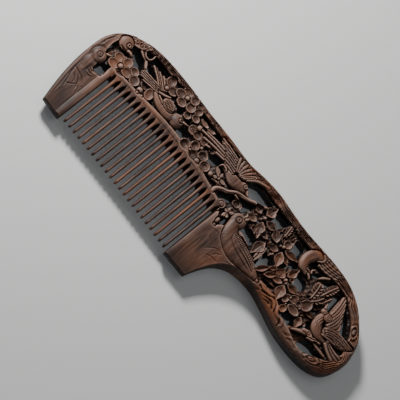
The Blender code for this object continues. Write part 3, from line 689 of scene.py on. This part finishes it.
def frond(points, width, count, top):
    # a feathered leaf: leaflets swept forward on both sides of a middle rib, whose reach is a
    # sine along it, longest near the middle
    line = curve(np.array(points, float), 10)
    pick = np.linspace(2, len(line) - 3, count).astype(int)
    for k, i in enumerate(pick):
        d = line[i + 1] - line[i - 1]
        d /= np.hypot(*d)
        reach = width * math.sin(math.pi * (0.18 + 0.74 * k / count))
        for sideways in (1, -1):
            tip = line[i] + np.array([-d[1], d[0]]) * sideways * reach + d * leaflet["sweep"] * reach
            leaf(*line[i], *tip, leaflet["width"], top, leaflet["cup"], -0.2, 0.15, fold=0.3 * sideways)
    stroke(points, 0.35, top + 0.15, 0.2, gap=0)


frond([(58.9, 11.2), (58.3, 15), (57.2, 19.2)], 2.5, 5, 5.2)
frond([(61.2, 15.6), (62.2, 20.5), (63.4, 25)], 2.1, 6, 5.3)
frond([(60.2, 10.2), (61.8, 12.6), (62.9, 15.8)], 1.7, 4, 5.1)
frond([(64.2, 13.6), (64.6, 15.6), (65.6, 19)], 1, 4, 4.4)
frond([(29.9, 20), (29.4, 22.6), (28.8, 25.6)], 1.4, 5, 4.9)
print("handle blossoms")

# arched bird on the back edge
for points, w, top in [
        ([(50.2, 24.7), (54, 25), (58.6, 26.2), (60.6, 27)], 0.62, 5.3),
        ([(50.4, 25.9), (54, 26.2), (57.6, 27.2), (60, 28.2)], 0.6, 5.5),
        ([(50.8, 27.2), (54, 27.4), (57.4, 28.3), (60, 29.3)], 0.6, 5.6),
        ([(51.2, 28.5), (54, 28.7), (57, 29.4), (59.4, 30)], 0.6, 5.6),
        ([(51.2, 29.8), (54, 30), (56.5, 30.4)], 0.55, 5.5)]:
    stroke(points, w * 1.1, top, 0.45, 0.11, 0.18, barbPitch=2.5)
stroke([(58, 24.4), (56, 22.4), (54.6, 20.2)], [0.5, 0.7, 0.4], 4.8, 0.4, 0.1)
stroke([(48.4, 27.5), (46.2, 27.1), (44.6, 24.8), (44.2, 21.6), (45.4, 19.1), (48.4, 18)],
       [2.3, 2.7, 2.8, 2.6, 2.4, 1.9], [5.9, 6.1, 6.2, 6.1, 6, 5.5], 1.8)
stroke([(48.2, 29.8), (49.9, 28.7), (49.9, 27), (48.4, 25.4)], [0.4, 0.7, 0.7, 0.3], 6, 0.4, gap=0.2)
eye(47.9, 19, 0.95)
stroke([(49.6, 17.6), (51, 17), (52, 16.2)], [0.6, 0.5, 0.2], 5, 0.3)
stroke([(50.6, 21.4), (49.8, 20.2), (50.6, 19)], 0.4, 5, 0.2)
emboss([(60.4, 26.6), (64, 27), (68, 26.6), (72.4, 26.8)], 0.5, -0.9, 5.4)
emboss([(66, 24.9), (69, 24.6), (72.8, 23.9)], 0.45, -0.7, 5.2)

# flying bird and handle end
plate([(68.4, 24.6), (72.6, 22), (79, 12), (76.6, 7.6), (73.2, 8.2), (70, 12)], 4.9)
plate([(73.2, 8), (78, 11.2), (89, 11.8), (88, 8.6), (83.5, 5.6), (75.4, 3.6)], 4.9)
stroke([(69, 12.4), (69, 8.4), (70.6, 4.8), (74, 2.8), (78, 2.6)], [1.5, 2.2, 2.6, 2.1, 1.1],
       [5.4, 5.6, 5.6, 5.4, 5], 1.7, gap=0.12)
engrave([
    [(69.3, 10.4), (69, 6.6), (71.6, 3.2)], [(70.2, 9.6), (70.2, 6.2), (73.4, 3.2)],
    [(71.2, 8.6), (71.6, 6), (75, 3.6)], [(68.2, 9.4), (67.9, 6.8), (69.4, 4.4)],
], 0.42, -0.3, 5.6)
strokes([
    [(68.7, 24.3), (70.1, 20), (70.7, 15), (70.4, 12.6)], [(70.2, 24), (71.7, 19), (72, 15), (71.5, 12.2)],
    [(71.4, 22.8), (73.1, 18.5), (73.1, 14), (72.4, 10.8)],
    [(73, 20.7), (74.3, 16.5), (74.1, 12.5), (73.3, 9.3)],
    [(74.5, 18.2), (75.4, 14.5), (75.2, 11), (74.3, 8.6)], [(75.9, 16.2), (76.8, 13),
    (76.2, 10.4), (75, 8.3)],
    [(77.3, 14.2), (78.4, 12), (77.6, 10), (76.2, 8.4)],
], [0.45, 0.74, 0.77, 0.6], [5, 5.4, 5.6, 5.7], 0.4, 0.08, 0.1)
strokes([
    [(74, 7.6), (77, 9.8), (81, 10.9), (88.6, 11.2)], [(75, 6.9), (78.5, 9), (83, 10), (88.2, 10.1)],
    [(76, 6.3), (79.5, 8.2), (84, 9.1), (87.6, 9.2)], [(76.4, 5.6), (80.5, 7.3), (84.6, 8.2)],
    [(76.6, 4.9), (81, 6.4), (84, 7.1)], [(75, 4.4), (79, 5.4), (82.5, 6)],
], [0.62, 0.7, 0.6, 0.35], [5.8, 5.6, 5.3, 5.1], 0.4, 0.1, 0.1)
scales(78.4, 7, 2.8, 1.6, 38, 0.3, 1.25, 5.7)
fan([(79, 3.9), (79.2, 3.2), (79, 2.6)], [(88.4, 3.4), (88.4, 1.6), (86.6, -0.2)], 0.75, [5.5, 5.1], -0.04)
bead(70.9, 11.7, 1.9, 5.9, crown=0.4)
ring(70.9, 11.7, 1.35, 0.3, -0.35, at=5.8)
ring(70.9, 11.7, 0.6, 0.3, -0.35, at=5.8)
bead(67.6, 12.6, 1.5, 5.5, over=False)
stroke([(66.9, 13.8), (66.3, 15), (66, 16.2)], [0.6, 0.45, 0.15], 5.1, 0.3)
stroke([(64.2, -5.5), (67, -3.3), (69.5, -1.9), (71.2, -1.3)], [0.6, 0.95, 0.9, 0.6], 5.2, 0.6)
stroke([(68, -1.2), (70.6, -0.6), (73, -1.2), (75, -0.2), (77.6, 0.4)], [0.9, 1.2, 1, 0.8, 0.4],
       5.3, 0.7, gap=0.15)
ring(70.8, -0.8, 0.8, 0.35, -0.4, 0.6)
stroke([(71.6, -2.6), (74.3, -1.4), (75.8, 0.1)], [0.4, 0.55, 0.3], 5.1, 0.3)
stroke([(75.5, -1.9), (79, -1.9), (83, -2)], [0.5, 0.7, 0.5], 4, 0.3)
for rx, ry, amount in [(0.9, 0.45, 0.3), (2.1, 1, -0.4), (3.3, 1.6, 0.3), (4.4, 2.2, -0.4),
                       (5.4, 2.9, 0.2)]:
    ring(80.1, -7.8, rx, 0.6, amount, ry, 22, 5.2)
for rx, ry, amount in [(0.9, 0.5, 0.5), (1.9, 1.1, -0.6), (3, 1.7, 0.5), (4, 2.3, -0.4)]:
    ring(83.6, 17, rx, 0.55, amount, ry, -58, 5.2)
for points, w, amount in [
        ([(37, -8), (40.5, -6.8), (45, -4.5)], 0.7, -0.9),
        ([(36, -3.2), (36.4, -5.6), (35.4, -8)], 0.6, -0.6),
        ([(43, -9), (46.4, -7.2), (50, -7.2), (53, -8)], 0.6, -0.7),
        ([(41, -5), (46, -4), (52, -6.5)], 0.9, 0.5),
        ([(53.6, -5.2), (56.4, -7), (58.2, -9.6), (58.8, -13)], 0.6, -1),
        ([(56.5, -6.2), (59, -8.2), (60, -10.8), (59.6, -13)], 0.8, 0.55),
        ([(67.5, -14.4), (70.5, -13.8), (73.2, -12.4)], 0.6, 0.5),
        ([(62, -10), (67, -10.6), (73, -10.4)], 1, -0.3),
        ([(30, -8.6), (34, -7.8), (38, -7.2)], 0.5, -0.5),
        ([(38.5, -3.4), (38.8, -4.6), (37.6, -6.4)], 0.6, 0.4)]:
    emboss(points, w, amount, 5.3)
print("handle end")


def blur(a, reach):
    # mean of neighbours weighted by a bell curve of the reach, along one axis and then the other
    n = int(3 * reach / block["cell"])
    k = np.exp(-0.5 * (np.arange(-n, n + 1) * block["cell"] / reach) ** 2)
    k /= k.sum()
    for axis in (0, 1):
        pad = [(n, n) if i == axis else (0, 0) for i in (0, 1)]
        b = np.pad(a, pad, mode="edge")
        size = a.shape[axis]
        a = sum(w * (b[i:i + size] if axis == 0 else b[:, i:i + size]) for i, w in enumerate(k))
    return a


# the outer edge rolls over as a part of an ellipse, and more of it on the handle
handle = unit((x - 30) / 10) * unit((14 - y) / 6)
radius = block["edgeRadius"] + block["gripRadius"] * handle
roundness = unit(edge / (radius * np.clip(slope * 1.1, 0.7, 1)))
besideTeeth = (x > -76.2) & (x < 1.4) & (y > 0) & (y < 12)
roundness = np.where(besideTeeth, 1.0, roundness)
loss = block["thinLoss"] - block["thickGain"] * slope + block["gripLoss"] * handle
ceiling = full * np.sqrt(1 - loss * (1 - roundness) ** 2)
rise = block["edgeRise"] + block["innerRise"] * unit((edge - 2) / 2) * slope ** 2
ceiling += np.where(besideTeeth, block["beadRise"], rise)
relief = np.minimum(relief, ceiling)
relief = np.clip(relief, 0.6, block["half"])
relief += block["soften"] * (blur(relief, 0.16) - relief)
solid = np.minimum(solid, edge)
solid = 0.5 * solid + 0.5 * blur(np.clip(solid, -1.5, 1.5), 0.2)
# crest and fine: the height above its blurred self; the wood paints wear with a highlight where they are
# above zero and shade where they are below
crest = np.clip((relief - blur(relief, 0.9)) / 1.2, -1, 1)
fine = np.clip((relief - blur(relief, 0.35)) / 0.35, -1, 1)
# redder wood: the lower rim of the handle, its far end and streaks along the back edge
redder = {"rim": 1.0, "end": 0.6, "streaks": 0.7}
warm = redder["rim"] * np.exp(-((x - 48) / 10) ** 4 - ((y + 7) / 5) ** 4)
warm += redder["end"] * np.exp(-((x - 84) / 7) ** 2 - ((y + 7) / 6) ** 2)
warm += redder["streaks"] * (rimZone & (x > -40)) * unit(0.5 + drift(gridX, gridY, 4.5, 6))
warm = unit(blur(warm, 0.6))

# the block is cut into pieces at these x, only to keep each mesh smaller
pieces = {
    "carvedHead": (-93, -66), "carvedPlum": (-66, -33), "carvedFlight": (-33, 1),
    "carvedPerch": (1, 34), "carvedBlossoms": (34, 63), "carvedHandleEnd": (63, 93),
}


def tidyCells(keep):
    # drop one of two kept cells that meet only at a corner, so the walls stay closed
    for _ in range(8):
        a, b, c, d = keep[:-1, :-1], keep[1:, :-1], keep[:-1, 1:], keep[1:, 1:]
        first = a & d & ~b & ~c
        second = b & c & ~a & ~d
        if not (first.any() or second.any()):
            break
        keep[:-1, :-1] &= ~first
        keep[1:, :-1] &= ~second
    return keep


def place(name, data):
    obj = bpy.data.objects.new(name, data)
    bpy.context.scene.collection.objects.link(obj)
    return obj


def finishMesh(mesh, crease, attributes):
    # smooth shading with sharp creases, and the values that the wood reads
    mesh.shade_smooth()
    mesh.set_sharp_from_angle(angle=math.radians(crease))
    for label, values in attributes.items():
        data = mesh.attributes.new(label, "FLOAT", "POINT").data
        data.foreach_set("value", np.asarray(values, np.float32))
    return place(mesh.name, mesh)


def carvedPiece(name, low, high):
    # the kept cells of the grid as a top sheet and its mirror below, with vertical walls along
    # every open edge; edge points slide to where the plan's distance is zero
    i0, i1 = np.searchsorted(xs, [low, high])
    i1 = min(i1, len(xs) - 1)
    part = slice(i0, i1 + 1)
    s, h = solid[part], relief[part]
    centre = 0.25 * (s[:-1, :-1] + s[1:, :-1] + s[:-1, 1:] + s[1:, 1:])
    keep = tidyCells(centre > 0)
    nx, ny = s.shape
    ids = np.arange(nx * ny).reshape(nx, ny)
    quads = np.stack([ids[:-1, :-1], ids[1:, :-1], ids[1:, 1:], ids[:-1, 1:]], -1)[keep]
    pairs = np.stack([quads, np.roll(quads, -1, 1)], -1).reshape(-1, 2)
    key = pairs[:, 0].astype(np.int64) * nx * ny + pairs[:, 1]
    back = pairs[:, 1].astype(np.int64) * nx * ny + pairs[:, 0]
    rim = pairs[~np.isin(key, back)]
    used, flat = np.unique(quads, return_inverse=True)
    new = np.full(nx * ny, -1)
    new[used] = np.arange(len(used))
    px, py = gridX[part].ravel()[used].copy(), gridY[part].ravel()[used].copy()
    # rim points slide along the slope of the distance field
    gx, gy = np.gradient(s, block["cell"])
    onRim = np.unique(rim)
    where = new[onRim]
    d, ax, ay = s.ravel()[onRim], gx.ravel()[onRim], gy.ravel()[onRim]
    steep = np.maximum(ax ** 2 + ay ** 2, 0.3)
    most = block["slide"] * block["cell"]
    column = onRim // ny
    free = (column > 0) & (column < nx - 1)
    px[where] -= np.clip(d * ax / steep, -most, most) * free
    py[where] -= np.clip(d * ay / steep, -most, most)
    z = h.ravel()[used]
    middle = block["half"]
    count = len(used)
    points = np.vstack([np.c_[px, py, middle + z], np.c_[px, py, middle - z]]) * mm
    quads = flat.reshape(-1, 4)
    a, b = new[rim[:, 0]], new[rim[:, 1]]
    # walls more than 1 mm inside the board, which get the painted-shade material
    deep = edge[part].ravel()[rim].min(1) > 1.0
    walls = np.c_[b, a, a + count, b + count]
    faces = np.vstack([quads, quads[:, ::-1] + count, walls])
    mesh = bpy.data.meshes.new(name)
    mesh.vertices.add(len(points))
    mesh.vertices.foreach_set("co", points.ravel())
    mesh.loops.add(faces.size)
    mesh.loops.foreach_set("vertex_index", faces.ravel().astype(np.int32))
    mesh.polygons.add(len(faces))
    mesh.polygons.foreach_set("loop_start", np.arange(0, faces.size, 4, dtype=np.int32))
    mesh.update(calc_edges=True)
    shade = np.zeros(len(faces), np.int32)
    shade[2 * len(quads):] = deep    # walls of the openings get the second material, the wood darkened tenfold as painted shade
    mesh.polygons.foreach_set("material_index", shade)
    fields = {"crest": crest, "fine": fine, "height": relief / block["half"], "warm": warm}
    obj = finishMesh(mesh, block["crease"],
                     {label: np.tile(v[part].ravel()[used], 2) for label, v in fields.items()})
    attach(obj, "root")
    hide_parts("carved_back")
    print(name, 2 * len(faces), "triangles")
    return obj


carved = [carvedPiece(name, *span) for name, span in pieces.items()]

tooth = {
    "tip": -29.3, "rootHalfWidth": 0.88, "tipHalfWidth": 0.62, "tipHalf": 1.45,
    "archHeight": 1.9, "gapHalf": 0.76, "sections": 44, "sides": 24,
    "below": 0.5,       # the root starts this far under the top of the gap
    "tenon": 1.4,       # and the tooth goes on this far into the board
    "proud": 0.2,       # thicker than the board there, so that it shows as a low bead
    "nose": 0.03,       # share of the length that the rounded tip takes
    "bow": 0.5,         # the outer tips reach this much lower
    "corner": 0.9,
    "crease": 60,
}


def toothPiece(index):
    # a rounded rectangle carried along y: half width, half thickness and corner are functions
    # of y, and near the top the width opens as half an ellipse, so neighbours close the arch
    cx = row["first"] + row["pitch"] * index
    top = gapTop(cx) + block["offset"] - tooth["below"]
    rootHalf = full[np.searchsorted(xs, cx), np.searchsorted(ys, top + 1.3)] + tooth["proud"]
    fromMiddle = 2 * index / (row["count"] - 1) - 1
    tip = tooth["tip"] - tooth["bow"] * fromMiddle ** 2 + block["offset"]
    end = top + tooth["tenon"]
    t = (1 - np.cos(np.linspace(0, np.pi / 2, 8))) * tooth["nose"]
    t = np.concatenate([t, np.linspace(0.045, 1, tooth["sections"])])
    y = tip + (end - tip) * t
    share = (y - tip) / (top - tip)
    half = tooth["tipHalfWidth"] + (tooth["rootHalfWidth"] - tooth["tipHalfWidth"]) * unit(share)
    rise = unit((y - (top - tooth["archHeight"])) / tooth["archHeight"])
    arch = row["pitch"] / 2 + 0.01 - tooth["gapHalf"] * (1 - 0.15 * rise) * np.sqrt(1 - rise ** 4)
    half = np.maximum(half, np.where(rise > 0, arch, 0))
    deep = tooth["tipHalf"] + (rootHalf - tooth["tipHalf"]) * unit(share) ** 0.95
    nose = np.sqrt(np.clip(1 - (1 - unit(t / tooth["nose"])) ** 2, 0.02, 1))
    side = tooth["sides"] // 4
    angle = (np.arange(4)[:, None] * np.pi / 2 + np.linspace(0, np.pi / 2, side)).ravel()
    quarter = np.repeat(np.arange(4), side)
    a, b = (half * nose)[:, None], (deep * nose)[:, None]
    corner = np.minimum(0.88 * half * (1 - 0.8 * rise ** 0.7), tooth["corner"])[:, None] * nose[:, None]
    px = cx + np.where((quarter == 0) | (quarter == 3), 1, -1) * (a - corner) + corner * np.cos(angle)
    pz = block["half"] + np.where(quarter < 2, 1, -1) * (b - corner) + corner * np.sin(angle)
    py = np.repeat(y[:, None], tooth["sides"], 1)
    points = np.stack([px, py, pz], -1).reshape(-1, 3) * mm
    n, m = len(y), tooth["sides"]
    ids = np.arange(n * m).reshape(n, m)
    nxt = np.roll(ids, -1, 1)
    quads = np.stack([ids[:-1], ids[1:], nxt[1:], nxt[:-1]], -1).reshape(-1, 4)
    faces = quads.tolist() + [ids[0].tolist(), ids[-1][::-1].tolist()]
    mesh = bpy.data.meshes.new(f"tooth{index + 1:02d}")
    mesh.from_pydata(points.tolist(), [], faces)
    # the teeth get a faint painted highlight mixed with wear, and no painted shade
    obj = finishMesh(mesh, tooth["crease"], {"crest": np.full(n * m, 0.1), "fine": np.zeros(n * m),
                                             "height": np.full(n * m, 0.9), "warm": np.zeros(n * m)})
    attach(obj, "root")
    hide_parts(f"tooth_{index + 1:02d}")
    return obj


teeth = [toothPiece(i) for i in range(row["count"])]
print("teeth", len(teeth))

wood = {
    "dark": (0.013, 0.006, 0.004, 1), "mid": (0.058, 0.0245, 0.0145, 1),
    "light": (0.125, 0.066, 0.047, 1), "amber": (0.200, 0.068, 0.026, 1),
    # next line: a near-black tone painted as shade in grooves and on low carving, and a greyish pink that
    # is partly wear on rubbed crests and partly a painted highlight
    "paintedShade": (0.004, 0.002, 0.0016, 1), "wearAndHighlight": (0.26, 0.162, 0.126, 1),
    "rings": (260, 22, 120),       # scales of the patterns in x, y and z: growth rings, long in y
    "grain": (900, 45, 700),       # fine grain
    "pores": (2600, 170, 2000),    # short dark pores
    "patches": (48, 30, 60),       # slow change of tone
    "toothPatches": (310, 16, 60),    # quicker across, so that each tooth has its own tone
    "roughness": 0.5, "specular": 0.24,
    "grainBump": (0.35, 0.00012), "poreBump": (0.3, 0.00008),    # strength and depth
}


def woodMaterial(name, warmth, tone=1.0, patches=wood["patches"]):
    # noises stretched along the grain, then tones laid over each other by noise and by the
    # carving's own height, crests and hollows: on crests a tone that is partly wear and partly a
    # painted highlight, in hollows and on low carving painted shade
    mat = bpy.data.materials.new(name)
    mat.use_nodes = True
    nodes, links = mat.node_tree.nodes, mat.node_tree.links
    shader = nodes["Principled BSDF"]

    def node(kind, **values):
        n = nodes.new(kind)
        for k, v in values.items():
            if hasattr(n, k):
                setattr(n, k, v)
            else:
                n.inputs[k.replace("_", " ")].default_value = v
        return n

    def mix(factor, a, b, blend="MIX"):
        n = node("ShaderNodeMix", data_type="RGBA", blend_type=blend)
        for socket, value in zip((0, 6, 7), (factor, a, b)):
            if hasattr(value, "links"):
                links.new(value, n.inputs[socket])
            else:
                n.inputs[socket].default_value = value
        return n.outputs[2]

    def span(value, low, high, toLow=0.0, toHigh=1.0):
        n = node("ShaderNodeMapRange")
        links.new(value, n.inputs[0])
        for i, v in zip((1, 2, 3, 4), (low, high, toLow, toHigh)):
            n.inputs[i].default_value = v
        return n.outputs[0]

    onObject = node("ShaderNodeTexCoord").outputs["Object"]

    def noise(scale, detail, rough=0.5, distortion=0.0):
        m = node("ShaderNodeMapping")
        m.inputs["Scale"].default_value = scale
        links.new(onObject, m.inputs[0])
        n = node("ShaderNodeTexNoise", Scale=1.0, Detail=detail, Roughness=rough, Distortion=distortion)
        links.new(m.outputs[0], n.inputs["Vector"])
        return n.outputs[0]

    def attribute(label):
        return node("ShaderNodeAttribute", attribute_name=label).outputs["Fac"]

    rings = noise(wood["rings"], 3, distortion=0.6)
    grain = noise(wood["grain"], 5, 0.6)
    pores = noise(wood["pores"], 2)
    crest, fine = attribute("crest"), attribute("fine")
    colour = mix(span(rings, 0.34, 0.66), wood["dark"], wood["mid"])
    # what drives each layer, where it starts and is full, how much it covers, and its tone
    # crest and fine above zero lay wear mixed with a painted highlight; below zero, and where the height
    # is low, they lay painted shade
    for value, start, end, most, tint in [
            (grain, 0.42, 0.7, 0.75, "light"), (noise(patches, 3), 0.5, 0.72, warmth, "amber"),
            (crest, 0.05, 0.8, 0.6, "wearAndHighlight"), (fine, 0.12, 0.9, 0.45, "wearAndHighlight"),
            (attribute("warm"), 0.1, 1.0, 0.68, "amber"), (crest, -0.05, -0.6, 0.8, "paintedShade"),
            (fine, -0.1, -0.8, 0.75, "paintedShade"), (attribute("height"), 0.62, 0.3, 0.8, "paintedShade"),
            (pores, 0.6, 0.75, 0.45, "dark")]:
        colour = mix(span(value, start, end, 0, most), colour, wood[tint])
    # tone below 1 darkens every layer: slightly on the teeth, and tenfold as painted shade on the walls of
    # the openings
    if tone < 1:
        colour = mix(1.0, colour, (tone, tone, tone, 1), "MULTIPLY")
    links.new(colour, shader.inputs["Base Color"])
    rough = span(grain, 0.3, 0.7, wood["roughness"] + 0.1, wood["roughness"] - 0.06)
    links.new(rough, shader.inputs["Roughness"])
    shader.inputs["Specular IOR Level"].default_value = wood["specular"]
    normal = None
    for value, (strength, depth) in ((grain, wood["grainBump"]), (pores, wood["poreBump"])):
        bump = node("ShaderNodeBump", Strength=strength, Distance=depth)
        links.new(value, bump.inputs["Height"])
        if normal:
            links.new(normal, bump.inputs["Normal"])
        normal = bump.outputs[0]
    links.new(normal, shader.inputs["Normal"])
    return mat


plankWood = woodMaterial("plankWood", 0.45)
# the openings' walls: the same wood multiplied by 0.1, painted shade
shadedWallWood = woodMaterial("shadedWallWood", 0.1, 0.1)
toothWood = woodMaterial("toothWood", 0.55, 0.9, wood["toothPatches"])
for obj in carved:
    obj.data.materials.append(plankWood)
    obj.data.materials.append(shadedWallWood)
for obj in teeth:
    obj.data.materials.append(toothWood)
print("wood")

# the floor glows a little, so that it shows through the openings
studio = {
    "size": 3.0, "colour": (0.5, 0.5, 0.49, 1), "roughness": 0.8,
    "glowColour": (0.9, 0.95, 1, 1), "glow": 0.07, "surroundings": 0.06,
}
r = studio["size"]
floorMesh = bpy.data.meshes.new("floor")
floorMesh.from_pydata([(-r, -r, 0), (r, -r, 0), (r, r, 0), (-r, r, 0)], [], [(0, 1, 2, 3)])
floor = place("floor", floorMesh)
floorPaint = bpy.data.materials.new("floorPaint")
floorPaint.use_nodes = True
paint = floorPaint.node_tree.nodes["Principled BSDF"].inputs
paint["Base Color"].default_value = studio["colour"]
paint["Roughness"].default_value = studio["roughness"]
paint["Emission Color"].default_value = studio["glowColour"]
paint["Emission Strength"].default_value = studio["glow"]
floorMesh.materials.append(floorPaint)

lights = {
    # name: (direction from the comb, distance, size, watts)
    "key": ((-0.8, 0.38, 0.7), 0.48, 0.09, 4.5),
    "fill": ((0.1, 0.2, 1.0), 1.0, 0.6, 1.5),
}


def areaLight(name, direction, distance, size, power):
    data = bpy.data.lights.new(name, "AREA")
    data.size = size
    data.energy = power
    lamp = place(name, data)
    way = Vector(direction).normalized()
    lamp.location = way * distance
    lamp.rotation_euler = way.to_track_quat("Z", "Y").to_euler()


for name, (direction, distance, size, power) in lights.items():
    areaLight(name, direction, distance, size, power)
world = bpy.data.worlds.new("studio")
world.use_nodes = True
world.node_tree.nodes["Background"].inputs[0].default_value = (1.0, 1.0, 1.0, 1)
world.node_tree.nodes["Background"].inputs[1].default_value = studio["surroundings"]
bpy.context.scene.world = world
print("floor and lights")

# the camera leans from straight above by side and back, and is then turned, in degrees
shot = {
    "side": 2.5, "back": 24.86, "turn": 51.82,
    "aim": (-7.1, -0.5, 6.0), "distance": 2.0, "lens": 398.0,
}
lean = [-math.tan(math.radians(shot[way])) for way in ("side", "back")]
towards = Vector((*lean, 1)).normalized()
right = Vector((1, 0, 0))
right = (right - right.dot(towards) * towards).normalized()
right = Matrix.Rotation(math.radians(shot["turn"]), 3, towards) @ right
cameraData = bpy.data.cameras.new("camera")
cameraData.lens = shot["lens"]
camera = place("camera", cameraData)
pose = Matrix((right, towards.cross(right), towards)).transposed().to_4x4()
pose.translation = Vector(shot["aim"]) * mm + towards * shot["distance"]
camera.matrix_world = pose
bpy.context.scene.camera = camera
print("camera")
